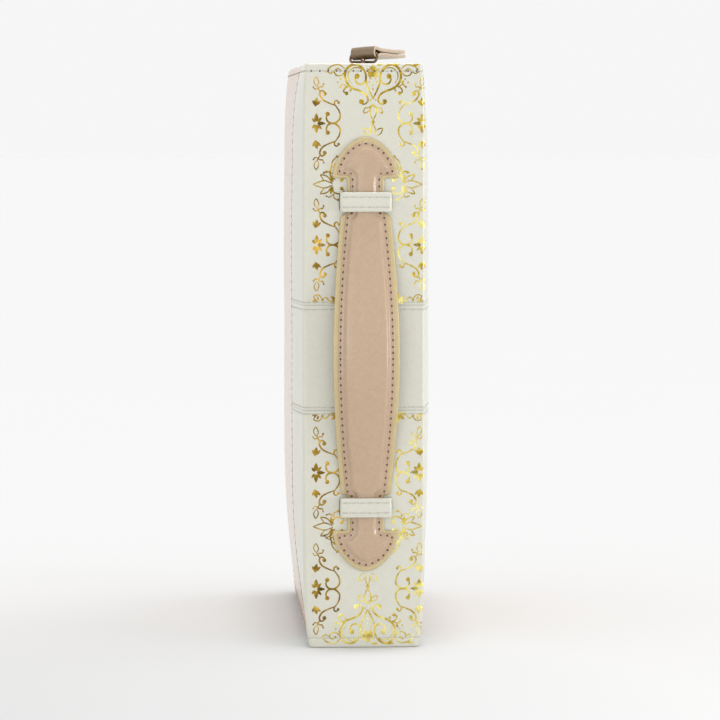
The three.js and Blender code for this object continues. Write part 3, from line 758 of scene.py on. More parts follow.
SIDE_GROUP = [
    (
        [(1, 8), (2.8, 5.2), (3.1, 2.4), (1.7, 0.6), (0, 0), (-2, 0.6), (-2.9, 2.4), (-2.3, 4.1)],
        0.85,
        0.95,
    ),
    ([(0.9, 7.7), (0.7, 9.3), (1.7, 10), (2.5, 9.1)], 0.7, 0.62),
    (
        [(1, 7.9), (-2, 9), (-4.5, 10.4), (-5.8, 12.6), (-5.2, 14.2), (-3.8, 13.9), (-3.6, 12.9)],
        0.8,
        0.9,
    ),
    ([(-5.7, 13.9), (-6.4, 15.3), (-7.0, 16.4)], 0.6, 0.0),
    ([(-6.6, 15.4), (-5.6, 16.0), (-4.6, 16.0), (-4.1, 17.2)], 0.6, 0.45),
    ([(-7.0, 16.2), (-6.2, 17.9), (-7.3, 20.2), (-8.3, 18.3), (-7.2, 16.2)], 0.5, 0.0),
    ([(-6.5, 15.2), (-7.9, 15.0), (-8.5, 15.8)], 0.5, 0.4),
]
SIDE_LEAVES = [
    ((-7.3, 0.7), (-7.2, 4.4), 1.7),
    ((-6.8, 0.6), (-4.9, 2.6), 1.3),
    ((-6.9, 0.0), (-3.2, 0.0), 1.5),
    ((-7.7, 0.5), (-9.2, 2.3), 1.1),
    ((-7.8, 7.4), (-6.9, 11.3), 1.9),
    ((-7.6, 8.0), (-5.2, 10.0), 1.3),
    ((-8.0, 8.2), (-8.9, 10.2), 1.0),
]
# The end motif has v running from its crossing towards the end of the case, and only the
# half at u above 0 is drawn.
END_HALF = [
    (
        [(0, 0), (1.7, 3.6), (3.0, 7.2), (3.3, 11), (5.3, 14), (8.6, 15), (11.5, 13.1)]
        + [(12.3, 9.8), (11.2, 6.6), (8.8, 4.6), (5.6, 3.4), (3, 1.6), (2.2, -0.8), (3.4, -2.3)],
        1.05,
        0.0,
    ),
    ([(3.4, -2.3), (4.6, -2.2), (5.1, -1.2)], 0.7, 1.1),
    ([(3.2, 8.4), (4.6, 6.6), (6.8, 6.7), (7.9, 8.6), (7, 9.9)], 0.75, 1.15),
    ([(4.6, 12.6), (6.2, 13.5), (8.5, 13.5), (10.6, 11.8), (10.9, 9.2), (9.6, 6.8)], 0.5, 0.0),
    ([(10.4, 5.6), (12.2, 4.8), (12.9, 3.2), (11.6, 2.4)], 0.7, 0.8),
    ([(9.4, 4.9), (9.9, 3.6)], 0.6, 0.45),
    ([(11.3, 5.3), (13.2, 6.3), (14.4, 5.2)], 0.6, 0.5),
    ([(0, -2.2), (1.5, -3.6), (3.6, -4.2), (4.1, -6.1), (2.2, -5.6), (1.2, -3.9)], 0.55, 0.0),
    ([(0, -2.6), (1.25, -4.6), (1.2, -7), (0, -9.2)], 0.6, 0.0),
    ([(0, -10.9), (0.9, -13.0), (0.8, -15.4)], 0.55, 0.0),
    ([(0.8, -15.2), (2.0, -13.4), (4.1, -12.9), (3.5, -15.0), (1.6, -16.2)], 0.55, 0.0),
    ([(12.2, 12.0), (14.0, 10.2), (16.2, 10.4), (16.9, 12.2), (15.4, 13.2), (14.4, 12.3)], 0.6, 0.6),
    ([(12.4, 13.2), (14.8, 14.9), (18.0, 14.4), (19.6, 13.0)], 0.6, 0.5),
    ([(17.0, 12.0), (18.6, 11.2), (20.2, 11.9)], 0.5, 0.4),
    ([(0, 14.6), (1.4, 13.2), (1.9, 10.6), (1.0, 8.8)], 0.55, 0.35),
]
END_LEAVES = [
    ((0, 9.6), (0, 14.8), 2.4),
    ((0.2, 10.2), (2.7, 13.4), 1.4),
    ((0.2, 9.8), (2.3, 10.4), 1.0),
    ((16.8, 14.4), (20.8, 15.2), 1.0),
    ((13.4, 8.2), (12.8, 6.3), 1.0),
    ((1.4, 15.0), (4.6, 15.2), 1.1),
    ((8.4, 15.2), (11.8, 15.2), 0.9),
    ((0, -9.2), (0, -11.4), 1.5),
]
END_DOTS = [(1.6, 7.4), (0, 6.0), (1.1, -0.6), (14.2, 8.6), (15.4, 7.2), (0, 4.2)]
# Palmette beside a keeper, with u towards the middle of the spine.
PALMETTE_HALF = [
    ([(0.6, 0.3), (-2.4, 1.6), (-5.2, 0.8), (-7.0, 0.0)], 0.6, 0.0),
    ([(0.2, 0.8), (-1.4, 3.4), (-4.0, 4.1), (-2.8, 1.9)], 0.6, 0.0),
    ([(0.6, 0.9), (1.0, 3.4), (3.4, 4.2), (4.9, 2.9), (4.0, 1.8)], 0.7, 0.8),
    ([(1.2, 3.6), (1.0, 5.8), (2.6, 6.8)], 0.6, 0.6),
    ([(0.8, 4.4), (-0.6, 5.6), (-1.8, 5.2)], 0.5, 0.4),
]
PALMETTE_LEAVES = [((0.3, 1.2), (-0.2, 4.4), 1.3)]
PALMETTE_SPREAD = 1.15
# Half rosette that grows out of a seam of the band.
ROSETTE_LEAVES = [
    ((0, 0.3), (-4.4, 0.6), 1.4),
    ((0, 0.5), (-3.3, 3.0), 1.5),
    ((0, 0.6), (0, 5.0), 1.8),
    ((0, 0.5), (3.3, 3.0), 1.5),
    ((0, 0.3), (4.4, 0.6), 1.4),
    ((-8.8, 0.6), (-11.6, 1.0), 1.1),
    ((-8.6, 1.2), (-9.2, 3.0), 0.9),
]
ROSETTE_CURLS = [
    ([(3.8, 0.8), (5.6, 3.0), (7.6, 2.6), (7.4, 1.4)], 0.6, 0.6),
    ([(-3.8, 0.8), (-5.4, 2.4), (-7.0, 1.4)], 0.6, 0.55),
    ([(1.2, 3.6), (2.6, 5.4), (4.2, 5.0)], 0.5, 0.5),
    ([(-6.4, 0.9), (-8.4, 3.4), (-10.6, 3.0), (-10.2, 1.5)], 0.55, 0.55),
]
# Sprigs that show beside the strap's heads, with v away from the strap's middle.
HEAD_TRIM = [
    ([(13.4, 77.0), (15.6, 79.2), (15.2, 82.4), (13.6, 83.4)], 0.7, 0.7),
    ([(15.3, 82.0), (14.6, 85.0), (12.6, 87.2)], 0.6, 0.6),
    ([(15.2, 79.8), (17.2, 80.8), (18.4, 80.0)], 0.5, 0.5),
]
FOIL_RISE = 0.07
GROUP_Z = (231.7, 178.4, 77.9, 26.2)  # middles of the side groups
PALMETTE_Z = (205.0, 54.0)


def foil_place(u, v, lift):
    """A point of the skin, lifted off it. u is across the spine as it is seen from outside."""
    out = []
    for x, z, rise in zip(*np.broadcast_arrays(u, v, lift)):
        side = -1 if x < 0 else 1
        out.append(skin_point(side, s_of(x, z), z, surface_depth(z) - rise + end_roll(z)))
    return np.array(out)


def ribbon(path, widths):
    """Thin raised ribbon of foil along a path, coming to a point where its width is small."""
    run = unit(np.gradient(path, axis=0))
    across = np.stack([-run[:, 1], run[:, 0]], axis=1)
    half = across * (widths / 2)[:, None]
    sides = [(half, 0.02), (0 * half, FOIL_RISE), (-half, 0.02), (0 * half, -0.12)]
    edges = [foil_place(*(path + offset).T, rise) for offset, rise in sides]
    return loft(np.stack(edges, axis=1))


def stroke_parts(strokes, move):
    """Ribbons with balls at their ends. move takes (u, v) to (x, z)."""
    parts = []
    for points, width, ball in strokes:
        path = spline([move(*p) for p in points])
        share = np.linspace(0, 1, len(path))
        swell = 0.42 + 0.58 * np.sin(np.pi * np.clip(share * 0.92 + 0.04, 0, 1)) ** 0.6
        parts.append(ribbon(path, width * swell))
        if ball:
            parts.append(ball_part(path[-1], ball))
    return parts


def leaf_parts(leaves, move):
    """Pointed filled leaves from a stem end to a tip."""
    share = np.linspace(0, 1, 9)
    swell = 0.06 + np.sin(np.pi * share**0.8) ** 0.9
    parts = []
    for stem, tip, width in leaves:
        path = np.outer(1 - share, move(*stem)) + np.outer(share, move(*tip))
        parts.append(ribbon(path, width * swell))
    return parts


def ball_part(centre, radius):
    """Round dot of foil."""
    rings = []
    for share, rise in ((0.1, 0.12), (0.6, 0.1), (1.0, 0.02), (0.6, -0.1), (0.1, -0.12)):
        size = radius * share
        spots = oval(np.array(centre), np.array((size, 0.0)), np.array((0.0, size)), 12)
        rings.append(foil_place(*np.transpose(spots), rise))
    return loft(rings)


def placer(x, z, across, up):
    """What takes (u, v) of a motif to (x, z) on the spine: its middle, and how u and v run there."""

    def move(u, v):
        return x + across * u, z + up * v

    return move


def build_foil():
    """Stamped scrollwork: side groups, palmettes and rosettes, and a motif at each end."""
    # Painted light: the front's groups take the foil with painted shade, the back's the foil with
    # painted glare.
    for name, upper_x, lower_x, painted_light_foil in (
        ("front", -13.7, -14.0, FOIL_PAINTED_SHADE),
        ("back", 18.3, 17.2, FOIL_PAINTED_GLARE),
    ):
        side = SIDES[name]
        parts = []
        for middle_x, height in zip((upper_x, upper_x, lower_x, lower_x), GROUP_Z):
            for up in (1, -1):
                move = placer(middle_x, height, -side, up)
                parts += stroke_parts(SIDE_GROUP, move) + leaf_parts(SIDE_LEAVES, move)
        for height in PALMETTE_Z:
            for up in (1, -1):
                move = placer(lower_x + side * 0.5, height, -side * PALMETTE_SPREAD, up)
                parts += stroke_parts(PALMETTE_HALF, move) + leaf_parts(PALMETTE_LEAVES, move)
        for height, up in ((BAND_HIGH + 0.9, 1), (BAND_LOW - 1.2, -1)):
            move = placer(lower_x - side * 2.5, height, -side, up)
            parts += leaf_parts(ROSETTE_LEAVES, move) + stroke_parts(ROSETTE_CURLS, move)
        for up in (1, -1):
            parts += stroke_parts(HEAD_TRIM, placer(HANDLE_X, HANDLE_MID, side, up))
        piece = make_piece(f"foil_side_{name}", parts, [painted_light_foil], sharp=80)
        assign(piece, "gold_foil")
        bend_at_corner(piece, name)

    # Painted light: the bottom motif takes the foil with painted glare.
    for label, middle_x, crossing, up, painted_light_foil in (
        ("top", 3.9, 242.4, 1, FOIL),
        ("bottom", 1.6, 17.0, -1, FOIL_PAINTED_GLARE),
    ):
        parts = []
        for way in (1, -1):
            move = placer(middle_x, crossing, way, up)
            parts += stroke_parts(END_HALF, move)
            parts += leaf_parts(END_LEAVES if way > 0 else END_LEAVES[1:3], move)
            parts += [ball_part(move(*dot), 0.4) for dot in END_DOTS if way > 0 or dot[0]]
        piece = make_piece(f"foil_{label}", parts, [painted_light_foil], sharp=80)
        assign(piece, "gold_foil", body="spine")


# ---- carrying handle ----

NECK_HALF = 8.0
GRIP_END_HALF = 10.9
SHOULDER = 77.8  # from the handle's middle to where its heads start
HEAD_ROUNDNESS = 1.75
BORDER = 2.0  # how much of the gold backing shows round the face
NECK_BORDER = 1.2
SEWN_INSET = 0.95  # from the face's edge to its stitches
FACE_ROWS = (0.1, 0.25, 0.45, 0.7, 0.95, 1.2, 1.6, 2.05, 2.4, 2.75, 3.1, 3.45, 3.8, 4.5, 5.5)


def handle_outline(border, neck_border, upper):
    """Outline (x, z from the handle's middle) of half of the strap, and of all of it."""
    grip, grip_end = GRIP_HALF - border, GRIP_END_HALF - border
    neck, head = NECK_HALF - neck_border, HEAD_HALF - border
    neck_start = KEEPER_NEAR - 0.5
    shoulder, tip = SHOULDER + neck_border, HANDLE_REACH - border
    share = np.linspace(0, 1, 60)[:, None]
    ends = np.array([(grip, 0.0), (grip, 0.45 * neck_start), (grip_end, neck_start - 1.2)])
    bow = (1 - share) ** 2 * ends[0] + 2 * share * (1 - share) * ends[1] + share**2 * ends[2]
    angles = np.linspace(0, math.pi / 2, 40)
    power = 2 / HEAD_ROUNDNESS
    dome = np.stack([
        head * np.cos(angles) ** power,
        shoulder + (tip - shoulder) * np.sin(angles) ** power,
    ], axis=1)
    bends = [bow[-1], (neck, neck_start), (neck, shoulder - 0.7), (neck + 0.7, shoulder), dome[0]]
    runs = [bow, *(np.array(run) for run in zip(bends, bends[1:])), dome]
    right = np.concatenate([resample(run, 0.9)[:-1] for run in runs] + [dome[-1:]])
    half = np.concatenate([right, right[-2::-1] * (-1, 1)])
    full = np.concatenate([half, (half * (1, -1))[::-1][1:-1]])
    across = np.linspace(-grip, grip, 27)[1:-1]
    cut = np.stack([across, 0 * across], axis=1)
    part = np.concatenate([half, cut])
    if not upper:
        part = (part * (1, -1))[::-1]
    return part, full


def stand_off(z):
    """How far the strap bows off the spine at a height from its middle."""
    share = np.minimum(1, np.abs(z) / KEEPER_NEAR)
    return STRAP_LIFT * (1 - share * share) ** 2


def leather_rise(z, inset):
    """How far the strap's face stands above the back of the strap, at a distance from its edge."""
    plateau = 3.05 + 0.95 * (1 - smooth(np.abs(z), 42, 62))
    edge = 1.15 + 1.0 * np.sqrt(np.clip(1 - (1 - np.minimum(inset / 0.45, 1)) ** 2, 0, 1))
    padding = (plateau - 2.15) * smooth(inset, 2.1, 3.7)
    crown = 0.4 * (1 - np.exp(-np.maximum(inset - 3.4, 0) / 3.0))
    return edge + padding + crown - 0.14 * dip(inset - SEWN_INSET, 0.8)


def strap_places(x, y, z):
    """Places of points that are drawn from the handle's middle."""
    return np.stack([x + HANDLE_X, y, z + HANDLE_MID], axis=1)


def build_strap(label):
    """Half of the strap: a gold backing, a padded tan face and a row of stitches."""
    upper = label == "top"

    def finish(piece, slot, *replaced):
        """The piece's place is baked into its mesh, and the CAD nodes that it stands for are hidden."""
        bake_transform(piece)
        assign(piece, slot, *replaced)

    outline, full = handle_outline(0, 0, upper)
    points, triangles = fill(outline, (0.15, 0.4, 0.8), 2.4, full)
    x, z = points.T
    back = -(stand_off(z) + 0.25)
    front = back - 0.95 + 0.3 * (1 - np.minimum(distance_to(points, full) / 0.4, 1)) ** 2
    parts = [pad(triangles, strap_places(x, front, z), strap_places(x, back, z))]
    backing = make_piece(f"strap_backing_{label}", parts, [GOLD_EDGE], sharp=70)
    finish(backing, "gold_leather", "handle_backing", f"handle_{label}_backing")

    outline, full = handle_outline(BORDER, NECK_BORDER, upper)
    points, triangles = fill(outline, FACE_ROWS, 1.6, full)
    x, z = points.T
    base = -stand_off(z)
    front = base - leather_rise(z, distance_to(points, full))
    parts = [pad(triangles, strap_places(x, front, z), strap_places(x, base - 1.1, z))]
    face = make_piece(f"strap_face_{label}", parts, [ROSE], sharp=70)
    finish(face, "rose_leather", "handle_leather", "handle_core", f"handle_{label}_leather")

    sewn, _ = handle_outline(BORDER + SEWN_INSET, NECK_BORDER + SEWN_INSET, upper)
    x, z = resample(sewn[np.abs(sewn[:, 1]) > 0.3], 0.3).T
    spots = strap_places(x, -stand_off(z) - leather_rise(z, SEWN_INSET) + 0.02, z)
    parts = stitch_parts(spots, (0, -1, 0), pitch=3.0, width=0.4, hole=0.52, rise=0.1)
    finish(make_piece(f"strap_stitches_{label}", parts, [THREAD, HOLE]), "thread")


# Half of a keeper's cross-section: (share of its half-width, depth below its front).
KEEPER_EDGE = ((-1, 0.55), (-0.97, 0.2), (-0.88, 0.05), (-0.54, 0.12), (-0.3, 0.0), (0, -0.03))
KEEPER_THICK = 1.05


def keeper_front(x):
    """How far a keeper's slightly crowned front stands out."""
    return KEEPER_OUT + 0.12 * np.cos(x * 0.13)


def build_keeper(label, sign):
    """Loop that holds a neck of the strap: a strip with rounded bends, tucked into the spine."""
    half, reach, bend = KEEPER_HALF, KEEPER_WIDTH / 2, 1.5
    height = HANDLE_MID + sign * (KEEPER_NEAR + reach)
    left = [(-half, 0.9), (-half, 0.2), (-half - 0.05, bend - KEEPER_OUT)]
    for a in np.linspace(0, math.pi / 2, 7)[1:]:
        left.append((bend - half - bend * math.cos(a), bend - KEEPER_OUT - bend * math.sin(a)))
    flat = [(x, -keeper_front(x)) for x in np.linspace(3 - half, half - 3, 11)]
    path = np.array(left + flat + [(-x, y) for x, y in left[::-1]])
    run = unit(np.gradient(path, axis=0))
    section = [(t * reach, deep) for t, deep in KEEPER_EDGE]
    section += [(-t, deep) for t, deep in section[-2::-1]]
    section += [(t * reach, KEEPER_THICK) for t in (0.98, 0.4, -0.4, -0.98)]
    rings = []
    for (x, y), (ahead, out) in zip(path, run):
        rings.append([(HANDLE_X + x - out * d, y + ahead * d, height + t) for t, d in section])
    strap = make_piece(f"keeper_{label}_strap", [loft(rings)], [CREAM], sharp=60)
    assign(strap, "cream_leather", f"keeper_{label}", body="spine")

    parts = []
    x = np.linspace(0.9 - half, half - 0.9, 40)
    for row in (-2.2, 2.2):
        heights = np.full(len(x), height + row)
        spots = np.stack([HANDLE_X + x, 0.02 - keeper_front(x), heights], axis=1)
        parts += stitch_parts(spots, (0, -1, 0), pitch=3.4, width=0.5, hole=0.26)
    row = make_piece(f"keeper_{label}_stitches", parts, [CREAM_THREAD, CREAM_HOLE])
    assign(row, "cream_thread", body="spine")

    # Painted shade: dark lenses at the keeper's ends, in the slits where it goes into the spine.
    slit_shades = []
    across, outward, along = np.diag((0.6, -0.05, reach + 0.2))
    for way in (-1, 1):
        spot = np.array((HANDLE_X + way * (half - 0.2), -0.02, height))
        slit_shades.append(lens(spot, along, across, outward, 16))
    slit = make_piece(f"keeper_{label}_slits", slit_shades, [KEEPER_SLIT_SHADE])
    assign(slit, "cream_thread", body="spine")


# ---- zip ----

ZIP_INSET = 3.0
ZIP_BEND = FORE_R - ZIP_INSET
ZIP_START = 4.2  # from the spine's face to the walls' ends
TEETH_STOP = 7.8


def zip_path(start, stop, step):
    """Line (y, z) of the zip's middle, along the top, round the fore edge and back underneath."""
    turn_y = DEPTH - ZIP_INSET - ZIP_BEND
    high, low = HEIGHT - ZIP_INSET, ZIP_INSET
    arc = np.linspace(math.pi / 2, 0, 20)
    upper = [(turn_y + ZIP_BEND * math.cos(a), high - ZIP_BEND + ZIP_BEND * math.sin(a)) for a in arc]
    lower = [(y, HEIGHT - z) for y, z in upper[::-1]]
    return resample(np.array([(start, high), *upper, *lower, (stop, low)]), step)


# Cross-sections of the zip's walls: (share of the way from the cover to the teeth, height
# above the zip's middle line), with the outer face first.
GUSSET_X = (22.9, 8.6)
GUSSET_OUTER = ((0, 2.2), (0.06, 2.35), (0.12, 2.1), (0.2, 1.4), (0.32, 1.0), (0.5, 1.05))
GUSSET_OUTER += ((0.7, 1.0), (0.88, 0.75), (0.97, 0.7), (1.0, 0.55))
GUSSET_INNER = ((0, -0.6), (0.2, -0.6), (0.5, -0.3), (0.8, -0.45), (0.97, -0.6), (1.0, -0.45))
TAPE_X = (9.4, 0.5)
TAPE_OUTER = ((0, 0.35), (0.45, 0.35), (0.56, 0.1), (0.64, -0.55), (0.98, -0.6), (1.0, -0.75))
TAPE_INNER = ((0, -0.35), (0.42, -0.4), (0.52, -0.7), (0.6, -1.15), (0.98, -1.2), (1.0, -1.05))
WALLS = (
    ("wall", GUSSET_OUTER + GUSSET_INNER[::-1], GUSSET_X, CREAM, "gusset", "cream_leather"),
    ("tape", TAPE_OUTER + TAPE_INNER[::-1], TAPE_X, ZIP_FABRIC, "zip_tape", "zip_fabric"),
)
# A tooth, from its root to its head: (x, half-length along the zip, half-height).
TOOTH = ((3.7, 0.35, 0.5), (3.3, 0.5, 0.95), (1.6, 0.5, 1.0))
TOOTH += ((0.5, 0.45, 0.9), (-0.2, 0.72, 1.1), (-0.55, 0.4, 0.6))
TOOTH_STEP = 0.475  # a quarter of the distance from one tooth to the next on the same side


def sweep(path, section, side):
    """Skin of a wall that follows the zip's line, from its cross-section (x, height)."""
    run = unit(np.gradient(path, axis=0))
    out = np.stack([-run[:, 1], run[:, 0]], axis=1)
    rings = [
        [(side * x, y + oy * lift, z + oz * lift) for x, lift in section]
        for (y, z), (oy, oz) in zip(path, out)
    ]
    return loft(rings)


def build_zip(name):
    """Gusset, tape and teeth of a cover. The back cover's teeth sit between the front cover's."""
    side, body = SIDES[name], f"{name}_cover"
    path = zip_path(ZIP_START, ZIP_START, 4.0)
    for part, section, (far, near), look, node, slot in WALLS:
        spots = [(far + (near - far) * share, lift) for share, lift in section]
        piece = make_piece(f"zip_{part}_{name}", [sweep(path, spots, side)], [look], sharp=60)
        assign(piece, slot, f"{name}_{node}", body=body)

    begin, first = (21.8, 0) if name == "front" else (4.6, 2)
    path = zip_path(begin, TEETH_STOP, TOOTH_STEP)
    run = unit(np.gradient(path, axis=0))
    parts = []
    for k in range(first, len(path) - 2, 4):
        ahead = np.array((0.0, *run[k]))
        up = np.array((0.0, -run[k][1], run[k][0]))
        rings = []
        for x, half_length, half_height in TOOTH:
            spot = np.array((side * x, *path[k]))
            rings.append(oval(spot, ahead * half_length, up * half_height, 8))
        parts.append(loft(rings))
    chain = make_piece(f"zip_teeth_{name}", parts, [COIL], sharp=60)
    assign(chain, "coil_plastic", f"{name}_zip_coil", body=body)


# ---- zip pull ----


def pull_frame():
    """Where the pull's parts are drawn: the ring's pivot, the tab's pivot and the pull's axes."""
    joints = JOINT["ring_swing"], JOINT["tab_swing"]
    pivots = [np.array(joint["pos_m"]) / MM - (0, FACE_Y / MM, 0) for joint in joints]
    across = unit(joints[0]["axis"])
    up = np.array((0.0, 0.0, 1.0))
    return *pivots, across, np.cross(up, across), up


RING_HALF = 6.3  # half of the ring's width, to the middle of its wire
RING_BEND = 1.4
WIRE_R = 0.58


def build_ring():
    """Round wire bent into a rounded rectangle."""
    pivot, tab_pivot, across, _, _ = pull_frame()
    length = float(np.linalg.norm(tab_pivot - pivot))
    reach = unit(tab_pivot - pivot)
    wide, near, far = RING_HALF - RING_BEND, RING_BEND, length - RING_BEND
    path = []
    for u, v, start in ((wide, near, -90), (wide, far, 0), (-wide, far, 90), (-wide, near, 180)):
        corner = pivot + across * u + reach * v
        for a in np.radians(np.linspace(start, start + 90, 9)):
            path.append(corner + RING_BEND * (across * math.cos(a) + reach * math.sin(a)))
    path = resample(np.array([*path, path[0]]), 0.9)[:-1]
    face = np.cross(across, reach)
    side = np.cross(unit(np.roll(path, -1, axis=0) - np.roll(path, 1, axis=0)), face)
    rings = [oval(p, s * WIRE_R, face * WIRE_R, 12) for p, s in zip(path, side)]
    ring = make_piece("pull_ring_wire", [loft(rings, closed=True)], [BRONZE])
    assign(ring, "bronze_metal", "pull_ring", body="pull_ring")


TAB_LENGTH = 33.0
TAB_HALF = 5.8
TAB_THICK = 1.8
TAB_EYE = 1.1  # radius of the roll's hole
TAB_LEAN = 4  # degrees
TAB_CORNER = 0.5


def tab_rise(t):
    """How far the middle of the tab's upper layer is above the pivot, at a distance from it."""
    return 0.85 + 0.3 * (1 - smooth(t, 4, 9)) + 0.18 * np.sin(t * 0.2)


def tab_path():
    """Middle line (distance, height) of the tab's strip: in along the top, round the bar, and back."""
    roll = TAB_EYE + TAB_THICK / 2
    path = [(t, tab_rise(t)) for t in np.linspace(TAB_LENGTH - 1.0, 5.0, 12)]
    for a in np.radians(np.linspace(75, 285, 19)):
        path.append((roll * math.cos(a), roll * math.sin(a)))
    for t in np.linspace(5.0, TAB_LENGTH + 0.2, 12):
        path.append((t, tab_rise(t) - 1.9 - 0.3 * (1 - smooth(t, 4, 9))))
    return np.array(path)


def build_tab():
    """Leather strip rolled round the ring's bar, its two layers stitched together."""
    _, origin, level, along, plumb = pull_frame()
    lean = math.radians(TAB_LEAN) * np.sign(level[0])
    across = level * math.cos(lean) + plumb * math.sin(lean)
    up = plumb * math.cos(lean) - level * math.sin(lean)
    path = tab_path()
    rings = []
    for (t, v), (ahead, rising) in zip(path, unit(np.gradient(path, axis=0))):
        flat = TAB_HALF - 0.4 * smooth(t, TAB_LENGTH - 1.5, TAB_LENGTH + 0.4) - TAB_CORNER
        middle = origin + along * t + up * v
        out = along * rising - up * ahead
        ring = []
        for a in np.radians(np.arange(0, 360, 30)):
            sign = np.sign(math.cos(a)) if abs(math.cos(a)) > 0.1 else 0.0
            wide = flat * sign + TAB_CORNER * math.cos(a)
            ring.append(middle + across * wide + out * (TAB_THICK / 2 * math.sin(a)))
        rings.append(ring)
    tab = make_piece("pull_tab_leather", [loft(rings)], [PULL_LEATHER, PULL_LEATHER_PAINTED_SHADE])
    # Painted shade: the faces of the roll take the darker copy of the leather.
    for face in tab.data.polygons:
        centre = np.array(face.center) / MM - (0, FACE_Y / MM, 0) - origin
        in_shaded_roll = centre @ along < 3.4 and abs(centre @ across) < TAB_HALF - 0.35
        face.material_index = 1 if in_shaded_roll else 0
    assign(tab, "pull_leather", "pull_tab", body="pull_tab")

    parts = []
    for way in (-1, 1):
        spots = []
        for t in np.linspace(5.5, TAB_LENGTH - 3, 30):
            top = tab_rise(t) + TAB_THICK / 2 - 0.03
            spots.append(origin + across * way * (TAB_HALF - 1.3) + along * t + up * top)
        parts += stitch_parts(np.array(spots), up, pitch=2.6, width=0.4, hole=0.28)
    row = make_piece("pull_tab_stitches", parts, [THREAD, HOLE])
    assign(row, "thread", body="pull_tab")


# A plate of the slider, from the chain outwards: (share of its outline, height from the chain).
PLATE = ((0.3, 1.5), (0.94, 1.5), (0.99, 1.65), (1.0, 1.9))
PLATE += ((0.99, 2.4), (0.93, 2.75), (0.8, 2.9), (0.3, 3.0))
BAIL_LOW = 2.5  # the bail's feet and its top, from the chain
BAIL_TOP = 5.05


def build_slider():
    """Slider body: two waisted plates, side flanges and a bail."""
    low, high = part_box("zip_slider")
    start = (low.y - FACE_Y) / MM
    length = (high.y - low.y) / MM
    half = high.x / MM
    chain_z = HEIGHT - ZIP_INSET
    sideways, upward = np.array((1.0, 0.0, 0.0)), np.array((0.0, 0.0, 1.0))
    plan = []
    for t in np.linspace(0, 1, 25):
        wide = half * (0.52 + 0.48 * smooth(t, 0.0, 0.3)) - 1.5 * smooth(t, 0.55, 1.0)
        plan.append((wide, start + t * length))
    plan += [(-x, y) for x, y in plan[::-1]]
    outline = resample(np.array([*plan, plan[0]]), 0.6)[:-1]
    centre = outline.mean(0)
    parts = []
    for level in (1, -1):
        rings = []
        for share, rise in PLATE:
            moved = centre + (outline - centre) * share
            rings.append([(x, y, chain_z + level * rise) for x, y in moved])
        parts.append(loft(rings))
    for way in (-1, 1):
        for level in (1, -1):
            rings = []
            for share in np.linspace(0, 1, 7):
                wide = half - 0.6 + 0.25 * math.sin(share * math.pi)
                spot = np.array((way * wide, start + 2.6 + 6 * share, chain_z + level * 1.55))
                rings.append(oval(spot, sideways * way * 0.55, upward * level, 10))
            parts.append(loft(rings))
    bail = []
    for a in np.radians(np.linspace(180, 0, 17)):
        y = start + length / 2 + 3.3 * math.copysign(abs(math.cos(a)) ** 0.55, math.cos(a))
        bail.append((0, y, chain_z + BAIL_LOW + (BAIL_TOP - BAIL_LOW) * math.sin(a) ** 0.6))
    run = unit(np.gradient(np.array(bail), axis=0))
    rings = []
    for spot, ahead in zip(np.array(bail), run):
        rings.append(oval(spot, sideways * 0.85, np.cross(sideways, ahead) * 0.42, 10))
    parts.append(loft(rings))
    slider = make_piece("zip_slider_body", parts, [BRONZE], sharp=60)
    assign(slider, "bronze_metal", "zip_slider", body="zip_slider")


# ---- inside ----

GATHERINGS = 12
# From one face of a gathering to the other: (share of its thickness, how far its edges are set in).
GATHERING = ((0.0, 0.35), (0.12, 0.08), (0.3, 0.0), (0.7, 0.0), (0.88, 0.08), (0.99, 0.35))
PAGE_CORNER = 3.0


def build_pages(name):
    """Half of the page block: thin gatherings of slightly different widths, one on another."""
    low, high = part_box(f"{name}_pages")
    side = SIDES[name]
    thin, thick = sorted((abs(low.x) / MM, abs(high.x) / MM))
    near, far = (low.y - FACE_Y) / MM, (high.y - FACE_Y) / MM
    pitch = (thick - thin) / GATHERINGS
    parts = []
    for k in range(GATHERINGS):
        inner = thin + k * pitch
        edge = far - 0.35 - 0.3 * math.sin(k * 2.4) ** 2
        top = high.z / MM - 0.15 - 0.2 * math.sin(k * 1.7 + 1) ** 2
        bottom = low.z / MM + 0.15 + 0.2 * math.sin(k * 2.1 + 2) ** 2
        spine = near + 1.2 * (1 - inner / thick) + 0.2
        rings = []
        for share, inset in GATHERING:
            start, stop = spine + inset, edge - inset
            head, tail = top - inset, bottom + inset
            ring = [(start, tail), (stop - PAGE_CORNER, tail), (stop, tail + PAGE_CORNER)]
            ring += [(stop, head - PAGE_CORNER), (stop - PAGE_CORNER, head), (start, head)]
            rings.append([(side * (inner + share * pitch), y, z) for y, z in ring])
        parts.append(loft(rings))
    block = make_piece(f"{name}_page_block", parts, [PAPER], sharp=40)
    assign(block, "paper", f"{name}_pages", body=f"{name}_pages")


def build_sleeve_seam(name):
    """Stitches along the free edge of the sleeve that holds the book's board."""
    side = SIDES[name]
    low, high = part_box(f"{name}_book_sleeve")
    x = side * min(abs(low.x), abs(high.x)) / MM
    y = (low.y - FACE_Y) / MM + 2.2
    spots = np.array([(x, y, z) for z in np.linspace(low.z / MM + 3, high.z / MM - 3, 120)])
    parts = stitch_parts(spots, (-side, 0, 0), pitch=3.4, width=0.5, hole=0.28)
    row = make_piece(f"{name}_sleeve_stitches", parts, [CREAM_THREAD, CREAM_HOLE])
    assign(row, "cream_thread", body=f"{name}_cover")


# ---- CAD nodes that stay ----


